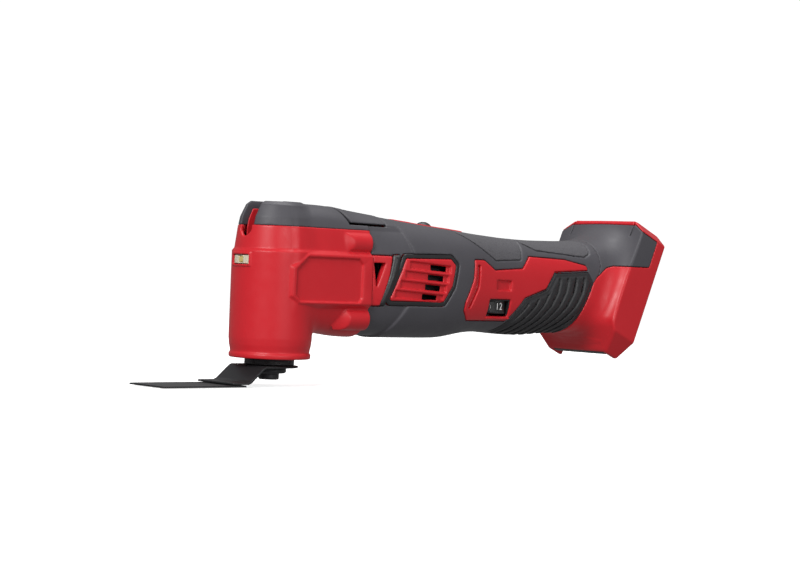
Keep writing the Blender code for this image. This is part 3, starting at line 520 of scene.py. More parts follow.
CARBON = plastic("carbon", (0.02, 0.02, 0.02), (0.045, 0.045, 0.045), 0.75, 0.3, 0.03)
BOARD = plastic("circuit_green", (0.012, 0.12, 0.05), (0.02, 0.19, 0.08), 0.40, 0.5, 0.01)
LENS = lens_material()
WHITE = plastic("dial_print", (0.70, 0.70, 0.70), (0.80, 0.80, 0.80), 0.50, 0.3, 0.005)
LAMP = plastic("lamp_chip", (0.52, 0.40, 0.14), (0.66, 0.52, 0.20), 0.35, 0.3, 0.01)

RED_PART = ("housing", RED, "red_plastic")
GREY_PART = ("housing", GREY, "grey_rubber")
BLACK_PART = ("housing", BLACK, "black_plastic")
STEEL_PART = ("housing", STEEL, "bright_steel")

CAD_LOOKS = {
    # The motor can takes the blackened steel so that the vent holes read dark: painted shade inside the
    # housing.
    "gear_case": CAST, "heat_sink": CAST, "motor_can": DARK_STEEL, "led_board": BOARD, "control_board": BOARD,
    "contact_1": BRASS, "contact_2": BRASS, "armature_windings": COPPER, "commutator": COPPER,
    "field_magnet": CARBON, "left_brush": CARBON, "right_brush": CARBON,
    "brush_end_bell": BLACK, "cooling_fan": BLACK, "front_plate": BLACK, "switch_link": BLACK,
    "switch_module": BLACK, "dial_potentiometer": BLACK,
}


def dress_cad_nodes():
    """Better materials on the CAD solids that stay: the insides, steel unless listed."""
    for name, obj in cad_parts.items():
        material = CAD_LOOKS.get(name, STEEL)
        for i in range(max(1, len(obj.material_slots))):
            if not obj.material_slots:
                obj.data.materials.append(material)
            obj.material_slots[i].material = material


# ---- head

def head_round(x, y, z):
    """The round head, from the rim bead up to the cover's floor."""
    profile = ((-5, 0), (24.1, 0), (24.6, 0.7), (24.6, 2.5), (23.8, 3.7), (24.0, 5.2), (24.6, 8.0),
               (25.0, 12.0), (25.0, 63.6), (23.6, 65.4), (22.3, 76.0), (21.3, 84.0), (-5, 84.0))
    return turned(x, y, z, profile, r=0.4)


def neck(x, y, z):
    """The neck behind the head: its flanks step in above and below the plaque."""
    flank = np.interp(z, (10.0, 20.0, 30.0, 33.0, 63.6, 65.2, 79.0, 94.0),
                      (18.5, 20.8, 22.6, 24.6, 24.6, 23.2, 21.8, 17.5))
    form = smax(body(x, y, z, 2.9), np.abs(y) - flank, 1.2)
    return smax(form, -x, 3.0)


def head_outside(x, y, z):
    return smin(head_round(x, y, z), neck(x, y, z), 5.0)


def bosses(x, ay, z):
    """Two screw bosses each side, each with an obliquely scooped front."""
    both = np.inf
    for boss_z, tip, slope in ((71.0, 35.8, 2.1), (24.9, 37.4, 1.1)):
        barrel = rod(ay, z, BARREL_Y, boss_z, BARREL_R)
        scoop = (tip + slope * (ay - 22.2) + 0.045 * (z - boss_z) ** 2 - x) / math.hypot(slope, 1.0)
        both = np.minimum(both, smax(smax(barrel, scoop, 0.6), 17.0 - ay, 0.5))
    return both


def head_field(x, y, z):
    ay = np.abs(y)
    outside = head_outside(x, y, z)
    whole = smin(outside, bosses(x, ay, z), 0.6)
    shell = carve(whole, smax(outside + WALL, 3.0 - z, 1.0), 0.5)
    plaque = smax(outline(x, z, PLAQUE, 0.6) + 0.8 * (ay - PLAQUE_BASE_Y), ay - PLAQUE_FACE_Y, 0.6)
    plaque = smax(plaque, PLAQUE_BASE_Y - 2.0 - ay, 0.5)
    shell = smin(shell, plaque, 0.4)
    field_cut = smax(outline(x, z, PLAQUE_FIELD, 0.8) - 0.5 * (ay - 24.8), 24.8 - ay, 0.35)
    shell = carve(shell, field_cut, 0.45)
    radius = np.sqrt(x * x + y * y)
    lamp_frame = block(radius, y, z, 20.0, 25.7, -8.8, 8.8, 54.2, 62.8, 0.7)
    shell = smin(shell, smax(lamp_frame, x, 0.5), 0.3)
    shell = carve(shell, block(x, y, z, -40, -18, -7.3, 7.3, 55.5, 61.3, 0.6), 0.4)
    pocket = smin(block(x, y, z, -40, -17, -5.0, 5.0, 74.8, 99.0, 1.0),
                  smax(rod(y, z, 0.0, 77.3, 5.0), x + 17.0, 0.5), 0.5)
    shell = carve(shell, pocket, 0.8)
    shell = carve(shell, rod(x, y, 0, 0, COLLAR_HOLE_R) + np.maximum(z - 5.0, 0.0) * 4.0, 0.5)
    for boss_z in BOSS_Z:
        seat = smax(rod(ay, z, BOSS_Y, boss_z, 3.4), np.abs(x - 43.2) - 1.9, 0.2)
        shell = carve(shell, smin(seat, smax(rod(ay, z, BOSS_Y, boss_z, 1.8), 43.0 - x, 0.2), 0.1), 0.3)
    shell = smax(smax(shell, z - BOOT_TOP, 0.5), x - NECK_END, 0.5)
    return smin(shell, boot_lip(x, ay, z), 0.4)


def boot_lip(x, ay, z):
    """A lip that stands up inside the cover, so that no light shows through their seam."""
    out = cover_outside(x, ay, z)
    lip = carve(smax(out + 2.9, np.abs(z - 77.6) - 3.6, 0.3), out + SHELL_DEPTH, 0.2)
    lip = carve(lip, block(x, ay, z, -60, -12.0, -9, 7.0, 60, 120), 0.3)
    return smax(smax(lip, x - 56.0, 0.3), -smax(x - 36.0, ay - 6.5, 0.1), 0.1)


def cover_outside(x, y, z):
    profile = ((-5, 60), (22.6, 60), (22.0, 78.0), (20.9, 84.0), (17.6, 91.4), (15.0, 93.5), (-5, 93.5))
    front = turned(x, y, z, profile, r=0.8)
    return smin(front, neck(x, y, z) + 0.15, 3.0)


def cover_field(x, y, z):
    ay = np.abs(y)
    out = cover_outside(x, y, z)
    shell = carve(out, smax(out + WALL, 8.9 - ay, 0.5), 0.5)
    channel = block(x, ay, z, -60, 42.6, -1, CHANNEL_HALF_W, 60.0, 120.0, 0.8)
    shell = carve(shell, channel, 0.8)
    seat = ((35.8, 94.2), (42.2, 81.9), (90, 81.9), (90, 120), (35.8, 120))
    shell = carve(shell, outline(x, z, seat, 0.0), 0.5)
    shell = carve(shell, rod(x, z, 0, PIVOT_Z, PIN_R) + np.maximum(ay - 12.4, 0) * 4, 0.3)
    return smax(smax(shell, COVER_FLOOR - z, 0.4), x - NECK_END, 0.5)


def slot_liner_field(x, y, z):
    """The red inner cheeks of the front slot, set back from the cover's face."""
    out = cover_outside(x, y, z) + 4.6
    cheeks = block(np.abs(y), x, z, 4.9, 6.0, -30.0, -7.0, 72.0, 90.5, 0.3)
    return smax(cheeks, out, 0.5)


def lever_field(x, y, z):
    ay = np.abs(y)
    out = smin(cover_outside(x, y, z), body(x, y, z) + 0.2, 2.0)
    grip_outline = ((37.6, 99.0), (37.6, 93.4), (44.0, 83.2), (71.4, 82.9), (71.4, 99.0))
    grip = smax(smax(outline(x, z, grip_outline, 0.4), out, 1.0), ay - 21.5, 0.5)
    waist = np.clip((18.0 - x) / 4.0, 0.0, 1.0)
    arm = block(x, ay + ARM_WAIST * waist, z, -5.5, 46.0, -9, ARM_HALF_W, 83.6, 120.0, 0.8)
    arm = smax(arm, out + 0.4, 0.8)
    angle = np.degrees(np.arctan2(z - PIVOT_Z, x))
    turn = np.mod(-90.0 - angle, 360.0)
    radius = np.where(turn <= LEVER_TRAVEL, CAM_LOW_R + CAM_RISE * turn / LEVER_TRAVEL, CAM_LOW_R - 0.1)
    cam = smax(np.sqrt(x * x + (z - PIVOT_Z) ** 2) - radius, ay - CAM_HALF_W, 0.4)
    whole = smin(smin(grip, arm, 1.0), cam, 0.5)
    for i in range(3):
        ridge = rod(x, z, 47.5 + 3.0 * i, 91.9 - 0.33 * i + 0.1, 0.8) + np.maximum(ay - 9.5, 0) * 3
        whole = carve(whole, ridge, 0.4)
    return carve(whole, rod(x, z, 0, PIVOT_Z, PIN_R + 0.05), 0.2)


def build_head():
    moulded("head_boot", head_field, (-26, -26, 0), (57, 26, 79), 0.6, *RED_PART,
            ("head_housing",), keep=0.5)
    moulded("head_cover", cover_field, (-22, -25, 79), (57, 25, 94), 0.6, *GREY_PART,
            ("head_top_cover",), keep=0.6)
    moulded("slot_cheeks", slot_liner_field, (-22, -7, 71), (-8, 7, 94), 0.4, *RED_PART)
    moulded("clamp_lever_arm", lever_field, (-9, -22, 79), (71.6, 22, 94), 0.6, "lever", GREY,
            "grey_rubber", ("clamp_lever",), keep=0.6)


def lens_field(x, y, z):
    radius = np.sqrt(x * x + y * y)
    lens = smax(block(x, y, z, -30, -22.6, -6.9, 6.9, 55.9, 60.9, 0.5), radius - 24.9, 0.5)
    return carve(lens, block(x, y, z, -30, -23.7, -2.5, 2.5, 56.3, 60.5, 0.5), 0.2)


def chip_field(x, y, z):
    return block(x, y, z, -24.4, -23.3, -1.8, 1.8, 56.8, 60.0, 0.3)


def build_lamp():
    moulded("lamp_lens", lens_field, (-26, -8, 55), (-22, 8, 62), 0.3, "housing", LENS, "clear_lens",
            ("led_lens",))
    moulded("lamp_chip", chip_field, (-24.5, -2.1, 56.4), (-23.2, 2.1, 60.4), 0.25, "housing", LAMP,
            "clear_lens")


# ---- housing and skins

def side_cut(x, z, points, amount=0.0, r=1.0):
    """A panel's outline, grown by amount, as an endless prism along Y."""
    return outline(x, z, points, r) - amount


def on_side(distance, y, sign):
    """Only what lies well out on one side of the tool."""
    return smax(distance, INNER_SIDE - sign * y, 0.3)


def screw_wells(shape, x, z, blend):
    """The wells down to the clamshell screws."""
    for well_x, well_z in HOUSING_SCREWS:
        shape = carve(shape, rod(x, z, well_x, well_z, SCREW_WELL_R), blend)
    return shape


def relief(x, z):
    """The skin steps down to the nose across two slanting creases, by up to RELIEF_DEPTH."""
    upper = (x - 84.0 - (76.5 - z) * 0.45) / 0.3
    lower = (x - 80.5 - (z - 24.0) * 0.5) / 0.3
    line = np.where(z > MOTOR_Z, upper, lower)
    return RELIEF_DEPTH * np.clip((83.0 - z) / 4.0, 0.0, 1.0) / (1.0 + np.exp(np.clip(line, -30, 30)))


def grip_end(z):
    """The line on which the grip's skins give way to the foot's flare."""
    return np.interp(z, (9.0, 21.0, 36.0, 52.4, 58.0, 64.0, 90.0),
                     (236.8, 241.6, 247.7, 254.9, 259.3, 262.0, 263.0))


def skin_field(side):
    sign = -1.0 if side == "left" else 1.0

    def field(x, y, z):
        ay = np.abs(y)
        s = along(x, z)
        out = body(x, y, z) + relief(x, z)
        shell = carve(out, out + SKIN, 0.3)
        for points, amount in ((SIDE_PANEL, 0.0), (NOSE_PANEL, 0.0), (RIB_PANEL, 0.0), (VENT_PANEL, 2.9),
                               (STRAP, 0.3)):
            shell = carve(shell, on_side(side_cut(x, z, points, amount), y, sign), 0.7)
        for pad in (TOP_PAD, REAR_PAD):
            well = smax(side_cut(x, z, pad, 0.3, 2.0), -(out + 0.7), 0.2)
            shell = carve(shell, well, 0.5)
        port = block(x, ay, z, *PORT_X, -1, PORT_HALF_W, 70, 120, 0.8)
        shell = carve(shell, port, 0.6)
        shell = carve(shell, block(x, ay, z, 40, 72.4, -1, 60, 81.7, 130, 0.3), 0.4)
        floor = smax(out + 0.6, block(x, ay, z, 57.6, 74.0, -1, 60, 80.2, 81.7, 0.2), 0.3)
        shell = smin(shell, floor, 0.2)
        if side == "right":
            shell = screw_wells(shell, x, z, 0.4)
        shell = smax(shell, BODY_START - s, 0.5)
        shell = smax(shell, x - grip_end(z) + 0.03, 0.05)
        return smax(shell, SEAM - sign * y, 0.25)

    return field


def pad_field(side, points):
    sign = -1.0 if side == "left" else 1.0

    def field(x, y, z):
        out = body(x, y, z)
        pad = smax(out + 0.05, side_cut(x, z, points, -0.45, 2.0), 0.4)
        pad = carve(pad, out + 1.4, 0.1)
        pad = smax(pad, x - grip_end(z) + SEAM, 0.2)
        return smax(pad, 0.1 - sign * y, 0.1)

    return field


def housing_field(side):
    sign = -1.0 if side == "left" else 1.0

    def field(x, y, z):
        s = along(x, z)
        out = body(x, y, z)
        shell = carve(out + SKIN + 0.3 + relief(x, z), out + SHELL_DEPTH, 0.2)
        for points, height in ((SIDE_PANEL, -0.35), (NOSE_PANEL, -0.1)):
            pad = on_side(smax(out + height, side_cut(x, z, points, -0.4), 0.9), y, sign)
            shell = smin(shell, carve(pad, out + 3.4, 0.3), 0.2)
        shell = carve(shell, on_side(side_cut(x, z, VENT_PANEL, -1.3), y, sign), 0.4)
        shell = panel_details(shell, out, x, y, z, side, sign)
        port = block(x, np.abs(y), z, *PORT_X, -1, PORT_HALF_W, 60, 120, 0.5)
        shell = carve(shell, port, 0.4)
        shell = carve(shell, block(x, np.abs(y), z, 40, 74.2, -1, 60, 80.0, 130, 0.3), 0.3)
        shell = smax(shell, BODY_START - s, 0.4)
        shell = smax(shell, x - grip_end(z) + SEAM, 0.3)
        return smax(shell, SEAM - sign * y, 0.25)

    return field


def panel_details(shell, out, x, y, z, side, sign):
    """Nose vent, curved groove, blank badge, dial window and the ledge under it."""
    deep = on_side(side_cut(x, z, VENT_NOSE, 0.0, 0.5), y, sign)
    shell = carve(shell, deep, 0.5)
    groove = smax(side_cut(x, z, GROOVE, 0.0, 0.5), -(out + 2.0), 0.8)
    shell = carve(shell, on_side(groove, y, sign), 0.6)
    badge = smax(side_cut(x, z, BADGE, 0.0, 0.8), -(out + 1.15), 0.2)
    shell = carve(shell, on_side(badge, y, sign), 0.4)
    if side == "left":
        window = block(x, y, z, *WINDOW_X, -60, -9.0, *WINDOW_Z, 1.0)
        shell = carve(shell, window, 0.9)
        sweep = rod(x, y, DIAL[0], DIAL[1], DIAL_R + 0.5) + np.maximum(np.abs(z - DIAL[2]) - 5.0, 0) * 3
        shell = carve(shell, sweep, 0.3)
        ledge = block(x, z, out, DIAL[0] - 11.0, DIAL[0] + 11.0, DIAL[2] - 8.1, DIAL[2] - 7.1, -2.0, 1.3, 0.3)
        shell = smin(shell, smax(ledge, 9.0 + y, 0.2), 0.3)
    else:
        shell = screw_wells(shell, x, z, 0.3)
    return shell


def vent_field(side):
    sign = -1.0 if side == "left" else 1.0

    def field(x, y, z):
        out = body(x, y, z)
        sheet = smax(out + 0.1, side_cut(x, z, VENT_PANEL, -0.05, 1.6), 1.2)
        slant = z + 0.06 * (x - 100.0)
        for i in range(VENT_SLOTS):
            mid = VENT_TOP_Z - VENT_PITCH * i
            groove = block(x, slant, out, 85.0 - 3.4 * i, 119.0 - 2.0 * i, mid - 2.2, mid + 2.2,
                           -1.6, 9.0, 0.5)
            sheet = carve(sheet, groove, 1.1)
            hole = block(x, slant, y * sign, 102.5 - 2.0 * i, 116.0 - 2.4 * i, mid - 1.7, mid + 1.7,
                         0, 60, 0.5)
            sheet = carve(sheet, hole, 0.4)
        sheet = carve(sheet, out + 2.6, 0.3)
        return on_side(sheet, y, sign)

    return field


def bezel_field(side):
    sign = -1.0 if side == "left" else 1.0

    def field(x, y, z):
        out = body(x, y, z)
        ring = carve(side_cut(x, z, VENT_PANEL, 2.8, 1.4), side_cut(x, z, VENT_PANEL, 0.05, 1.6), 0.3)
        ring = smax(ring, out + 0.35, 0.8)
        strap = smax(side_cut(x, z, STRAP, 0.2, 0.8), out - 0.7, 3.4)
        both = carve(smin(ring, strap, 0.6), out + 1.55, 0.3)
        return on_side(both, y, sign)

    return field


def rib_field(side):
    sign = -1.0 if side == "left" else 1.0

    def field(x, y, z):
        out = body(x, y, z)
        edge = side_cut(x, z, RIB_PANEL, -0.1, 1.2)
        bend = np.interp(z, (12.0, 18.0, 27.0, 36.0, 45.0, 52.0, 60.0),
                         (-36.0, -27.0, -15.0, -6.6, -1.6, 0.0, 0.4))
        wave = np.abs(np.mod(x - bend - 1.2, RIB_PITCH) - RIB_PITCH / 2)
        border = np.clip((-edge - 3.0) / 1.2, 0.0, 1.0)
        depth = RIB_GROOVE * np.clip((wave - 2.2) / 1.1, 0.0, 1.0) * border
        sheet = smax(out - RIB_PROUD * np.clip((-edge - 2.2) / 1.4, 0.0, 1.0) + depth, edge, 0.8)
        sheet = carve(sheet, out + SKIN - 0.02, 0.2)
        if side == "right":
            sheet = screw_wells(sheet, x, z, 0.3)
        return on_side(sheet, y, sign)

    return field


def build_sides():
    for side, low_y, high_y in (("left", -32.0, 0.0), ("right", 0.0, 32.0)):
        moulded(f"{side}_skin", skin_field(side), (57, low_y, 12), (265, high_y, 92), 0.7, *GREY_PART,
                (f"{side}_overmould",), keep=0.4)
        moulded(f"{side}_clamshell", housing_field(side), (57, low_y, 12), (265, high_y, 92), 0.7,
                *RED_PART, (f"{side}_housing",), keep=0.35)
        moulded(f"{side}_vent", vent_field(side), (68, low_y, 34), (127, high_y, 66), 0.5, *RED_PART,
                (f"{side}_vent_grille",), keep=0.6)
        moulded(f"{side}_vent_bezel", bezel_field(side), (60, low_y, 31), (130, high_y, 68), 0.5,
                *BLACK_PART, keep=0.6)
        # The ribs take the near-black rib rubber, which is painted shade on the grey grip rubber.
        moulded(f"{side}_ribs", rib_field(side), (160, low_y, 12), (257, high_y, 62), 0.55, "housing",
                RIB_RUBBER_SHADED, "black_rubber", (f"{side}_rib_grip",), keep=0.6)
        for end, points in (("front", TOP_PAD), ("rear", REAR_PAD)):
            low_x, high_x = (126, 196) if end == "front" else (193, 262)
            moulded(f"{side}_{end}_pad", pad_field(side, points), (low_x, low_y, 62), (high_x, high_y, 90),
                    0.6, "housing", PAD, "grey_rubber", keep=0.5)


# ---- controls

def switch_bezel_field(x, y, z):
    ay = np.abs(y)
    line = 87.3 - (x - 90.2) * 0.0799
    crown = z - line - 0.35 + 0.012 * y * y
    plate = smax(block(x, ay, z, 90.3, 147.7, -1, 8.6, 79.6, 99.0, 0.8), crown, 0.8)
    dish = block(x, ay, z, 104.0, 133.0, -1, 6.9, 0.0, 99.0, 1.5)
    plate = carve(plate, smax(dish, line - 1.1 - z, 0.8), 0.8)
    slot = block(x, ay, z, 107.8, 127.6, -1, 6.5, 0.0, 99.0, 0.6)
    return carve(plate, slot, 0.3)


def knob_field(x, y, z):
    ay = np.abs(y)
    base = block(x, ay, z, 103.0, 134.5, -1, 7.5, 77.9, 79.3, 0.2)
    dome = (np.sqrt(((x - KNOB_X) / 6.4) ** 2 + (ay / 5.6) ** 2 + ((z - 81.6) / 5.6) ** 2) - 1.0) * 5.6
    ridge = smax(dome, 78.5 - z, 0.3)
    for i in range(3):
        notch = rod(x, z, KNOB_X - 2.0 + 2.0 * i, 87.8, 0.9) + np.maximum(ay - 4.8, 0) * 3
        ridge = carve(ridge, notch, 0.3)
    return smin(base, ridge, 0.4)


def dial_field(x, y, z):
    angle = np.arctan2(y - DIAL[1], x - DIAL[0])
    knurl = 0.22 * np.cos(angle * 60.0) * np.clip((np.abs(z - DIAL[2]) - 3.0) * 2.0, 0.0, 1.0)
    wheel = rod(x, y, DIAL[0], DIAL[1], DIAL_R - 0.22 + knurl)
    wheel = smax(wheel, np.abs(z - DIAL[2]) - 4.5, 0.6)
    return carve(wheel, rod(x, y, DIAL[0], DIAL[1], 2.3), 0.2)


def dial_mark(name, characters, size, turn_degrees):
    """One printed mark wrapped round the wheel's rim."""
    text = bpy.data.curves.new(name, "FONT")
    text.body = characters
    text.size = size
    text.extrude = 0.06
    text.align_x, text.align_y = "CENTER", "CENTER"
    mesh, bm = curve_mesh(text, 0.0001)
    bmesh.ops.subdivide_edges(bm, edges=bm.edges[:], cuts=2)
    for v in bm.verts:
        across, up, depth = v.co
        bend = across / DIAL_R - math.radians(turn_degrees) - math.pi / 2
        r = DIAL_R - 0.02 + depth
        v.co = (DIAL[0] + r * math.cos(bend), DIAL[1] + r * math.sin(bend), DIAL[2] + up)
    bm.to_mesh(mesh)
    bm.free()
    mesh.materials.clear()
    finish_mesh(name, mesh, "dial", WHITE)


def dial_numbers():
    """Generic speed numbers round the rim, a small arc between each two; the highest shows at rest."""
    for i, number in enumerate(DIAL_STEPS):
        dial_mark(f"speed_number_{number}", str(number), 6.4, DIAL_SPACING * i)
        dial_mark(f"speed_arc_{i}", ")", 3.6, DIAL_SPACING * i + 30.0)


def window_frame_field(x, y, z):
    """A black ring round the inside of the dial's window: painted shade for the dark recess round the wheel.
    """
    out = body(x, y, z)
    outer = block(x, y, z, *WINDOW_X, -60, -9, *WINDOW_Z, 0.9) + 0.1
    ring = smax(carve(outer, outer + 0.9, 0.2), out + 0.55, 0.3)
    ring = carve(ring, out + 5.0, 0.2)
    return carve(ring, rod(x, y, DIAL[0], DIAL[1], DIAL_R + 0.3), 0.2)


def build_controls():
    moulded("switch_plate", switch_bezel_field, (90, -9, 79), (148, 9, 88.5), 0.5, *RED_PART,
            ("switch_bezel",), keep=0.6)
    moulded("switch_slider", knob_field, (102, -8, 77.5), (135, 8, 88), 0.4, "switch", BLACK,
            "black_plastic", ("switch_knob",), keep=0.6)
    moulded("speed_wheel", dial_field, (155, -25, 29.5), (182, 2.5, 39.5), 0.35, "dial", BLACK,
            "black_plastic", ("speed_dial",), keep=0.6)
    # A black ring in the dial's window: painted shade for its recess.
    moulded("dial_window_shade_ring", window_frame_field, (157, -29, 27.5), (178.5, -19, 40.5), 0.3,
            *BLACK_PART, keep=0.6)
    dial_numbers()


# ---- blade and clamp

def blade_outline():
    half = BLADE_HALF_W
    tip = (SAW_LOW.x - SHIFT.x) / MM
    points = [(-30.0, half), (-30.0, -half), (tip + 1.3, -half)]
    for i in range(TEETH):
        y = -half + 2 * half * i / TEETH
        points += [(tip, y + 0.2), (tip, y + 0.45), (tip + TOOTH_DEPTH, y + 1.4)]
    return points


def saw_blade():
    curve = bpy.data.curves.new("saw", "CURVE")
    curve.dimensions = "2D"
    curve.fill_mode = "BOTH"
    curve.extrude = SAW_HALF_THICK - 0.08
    curve.bevel_depth = 0.08
    spline = curve.splines.new("POLY")
    points = blade_outline()
    spline.points.add(len(points) - 1)
    for target, (x, y) in zip(spline.points, points):
        target.co = (x, y, 0.0, 1.0)
    spline.use_cyclic_u = True
    mesh, bm = curve_mesh(curve, 0.0005)
    bm.to_mesh(mesh)
    bm.free()
    mesh.materials.clear()
    piece = finish_mesh("saw_plate", mesh, "spindle", DARK_STEEL, ("saw_blade",),
                        Matrix.Translation((0, 0, BLADE_TOP - SAW_HALF_THICK)))
    piece.data.set_sharp_from_angle(angle=math.radians(30.0))


def adapter_field(x, y, z):
    """The cranked adapter: flat, slope and hub plate, with spot-weld dimples and slots."""
    mid = np.interp(x, (-60.0, -28.0, -26.0, -17.0, -15.0, 40.0), (-14.3, -14.3, -13.4, -5.8, -4.9, -4.9))
    slope = np.interp(x, (-29.0, -27.0, -16.0, -14.0), (1.0, 1.28, 1.28, 1.0))
    sheet = np.abs(z - mid) / slope - ADAPTER_HALF_THICK
    front = block(x, y, z, -39.5, 0.0, -17.5, 17.5, -40, 40, 0.0)
    hub = rod(x, y, 0.0, 0.0, 17.4)
    plate = smax(sheet, smin(front, hub, 0.5), 0.35)
    plate = carve(plate, rod(x, y, 0, 0, 5.0), 0.2)
    for dy in WELD_Y:
        dimple = np.sqrt((x + 34.2) ** 2 + (y - dy) ** 2 + (z + 12.4) ** 2) - 1.9
        plate = carve(plate, dimple, 0.3)
    for i in range(SEAT_HOLES):
        a = math.tau * (i + 0.5) / SEAT_HOLES
        plate = carve(plate, rod(x, y, 11.5 * math.cos(a), 11.5 * math.sin(a), SEAT_HOLE_R), 0.25)
    return plate


def spindle_field(x, y, z):
    profile = ((4.9, 64), (8.0, 64), (8.0, -0.2), (15.0, -0.2), (15.0, -3.9), (4.9, -3.9))
    shaft = turned(x, y, z, profile, r=0.25)
    angle = np.arctan2(y, x)
    flutes = rod(np.abs(np.mod(angle * 12 / math.pi, 2.0) - 1.0) * 4.0, z, 0.0, -2.0, 0.9)
    ring = np.abs(np.sqrt(x * x + y * y) - 15.6) - 0.9
    return carve(shaft, smax(flutes, ring, 0.2), 0.3)


def flange_field(x, y, z):
    body_part = turned(x, y, z, ((-2, -6.0), (10.4, -6.0), (10.4, -8.2), (9.6, -9.0), (6.2, -9.2),
                                 (6.2, -12.3), (5.6, -12.9), (-2, -12.9)), r=0.2)
    angle = np.arctan2(y, x)
    radius = np.sqrt(x * x + y * y)
    hexagon = radius * np.cos(np.mod(angle, math.pi / 3) - math.pi / 6) - 2.9
    return carve(body_part, smax(hexagon, z + 9.8, 0.2), 0.25)


def spring_field(x, y, z):
    """The clamp's compression spring: three turns of round wire."""
    turn = np.arctan2(y, x) / math.tau
    from_foot = (z - SPRING_FOOT) / SPRING_PITCH
    rise = (from_foot - turn - np.round(from_foot - turn)) * SPRING_PITCH
    wire = np.hypot(np.hypot(x, y) - SPRING_R, rise * 0.996) - SPRING_WIRE_R
    half = SPRING_TURNS * SPRING_PITCH / 2
    ends = np.abs(z - SPRING_FOOT - half) - half - SPRING_WIRE_R
    return smax(wire, ends, 0.1)


def build_clamp_spring():
    spring = moulded("clamp_coil_spring", spring_field, (-6.6, -6.6, 64.2), (6.6, 6.6, 75.4), 0.22,
                     *STEEL_PART, ("clamp_spring",), keep=0.5)
    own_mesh(spring)


def build_blade():
    saw_blade()
    moulded("blade_crank", adapter_field, (-40, -18, -15.2), (18, 18, -4), 0.45, "spindle", DARK_STEEL,
            "blackened_steel", ("blade_adapter",), keep=0.6)
    moulded("drive_spindle", spindle_field, (-15.2, -15.2, -4), (15.2, 15.2, 64.2), 0.45, "spindle",
            DARK_STEEL, "blackened_steel", ("spindle",), keep=0.4)
    moulded("clamp_bolt", flange_field, (-10.6, -10.6, -13), (10.6, 10.6, -5.9), 0.35, "clamp",
            DARK_STEEL, "blackened_steel", ("clamp_flange",), keep=0.6)


# ---- foot (t rearward, y, s up the foot)

FOOT_X = 252.4
FOOT_REAR = 26.0
FOOT_FILLET = 13.0
FOOT_COVER_THICK = 2.2
FOOT_OUTLINE = ((28.0, 104.6), (38.0, 97.0), (38.0, 24.3), (27.0, 11.8), (-27.0, 11.8), (-38.0, 24.3),
                (-38.0, 97.0), (-28.0, 104.6))
BAY_OUTLINE = ((-33.5, 27.5), (-33.5, 93.0), (-26.0, 98.5), (26.0, 98.5), (33.5, 93.0), (33.5, 27.5),
               (24.0, 17.0), (24.0, -15.0), (-24.0, -15.0), (-24.0, 17.0))
FOOT_MATRIX = Matrix((
    (math.cos(FOOT_TILT), 0.0, math.sin(FOOT_TILT), FOOT_X),
    (0.0, 1.0, 0.0, 0.0),
    (-math.sin(FOOT_TILT), 0.0, math.cos(FOOT_TILT), 0.0),
    (0.0, 0.0, 0.0, 1.0),
))


def foot_front(t, s):
    """The foot's front plane, with the sloping toe below it."""
    return smax(-t, -t * 0.786 - (s - 29.0) * 0.618, 2.5)


def foot_block(t, y, s):
    """The foot's outer block."""
    return smax(outline(y, s, FOOT_OUTLINE, 2.2), foot_front(t, s), 1.8)


def tool_xz(t, s):
    """Tool coordinates of a point given in foot coordinates."""
    x = FOOT_X + t * math.cos(FOOT_TILT) + s * math.sin(FOOT_TILT)
    return x, s * math.cos(FOOT_TILT) - t * math.sin(FOOT_TILT)


def foot_outside(t, y, s):
    """The foot block, with a generous fillet flaring out of the grip."""
    x, z = tool_xz(t, s)
    tube = body(x, y, z)
    sides = np.minimum(outline(y, s, FOOT_OUTLINE, 2.2), tube - 4.0 + 3.0 * np.maximum(t + 3.0, 0.0))
    flared = smax(smin(foot_front(t, s), tube, FOOT_FILLET), sides, 1.8)
    return smax(flared, grip_end(z) + 0.03 - x, 0.05)


COVER_TOP = ((29.6, 101.2), (46.0, 91.0), (46.0, 0.0), (-46.0, 0.0), (-46.0, 91.0), (-29.6, 101.2))


def cover_zone(t, y, s, grow):
    """Where the soft cover lies: above its lower edge, below the trim, ahead of the rear band."""
    x, z = tool_xz(t, s)
    edge = np.interp(x, (240.0, 254.0, 266.5, 272.0, 330.0), (41.8, 52.9, 62.8, 64.3, 64.3))
    lower = (edge - z) * 0.85 - grow
    return smax(smax(t - 17.2 - grow, lower, 1.0), outline(y, s, COVER_TOP, 0.8) - grow, 0.4)


def foot_field(t, y, s):
    ay = np.abs(y)
    x, z = tool_xz(t, s)
    outer = foot_outside(t, y, s)
    foot = smax(outer, t - FOOT_REAR, 0.9)
    bay = smax(outline(y, s, BAY_OUTLINE, 1.5), 9.5 - t, 1.0)
    foot = carve(foot, bay, 0.8)
    sill = smax(outer, block(t, ay, s, 4.0, 14.5, -1.0, 24.6, 9.0, 18.0, 0.6), 0.4)
    foot = smin(foot, sill, 0.5)
    foot = carve(foot, smax(body(x, y, z) + SHELL_DEPTH, t - 5.0, 0.5), 0.5)
    foot = carve(foot, block(t, y, s, -20.0, 12.0, -14.0, 14.0, 44.0, 76.0, 1.5), 0.5)
    rails = block(t, ay, s, 17.0, 20.5, 29.0, 34.5, 32.0, 88.0, 0.6)
    foot = smin(foot, rails, 0.4)
    foot = carve(foot, smax(cover_zone(t, y, s, 0.2), -(outer + 2.4), 0.3), 0.4)
    notch = block(t, ay, s, -5.0, 3.0, 27.4, 28.4, 97.0, 110.0, 0.3)
    return carve(foot, notch, 0.4)


def foot_cover_field(t, y, s):
    outer = foot_outside(t, y, s)
    cover = smax(outer, cover_zone(t, y, s, -0.1), 0.6)
    cover = carve(cover, outer + FOOT_COVER_THICK, 0.4)
    cover = carve(cover, block(t, np.abs(y), s, -5.0, 1.1, 27.5, 28.3, 92.5, 110.0, 0.3), 0.3)
    return carve(cover, block(t, y, s, -20.0, 12.0, -14.0, 14.0, 44.0, 76.0, 1.5), 0.5)


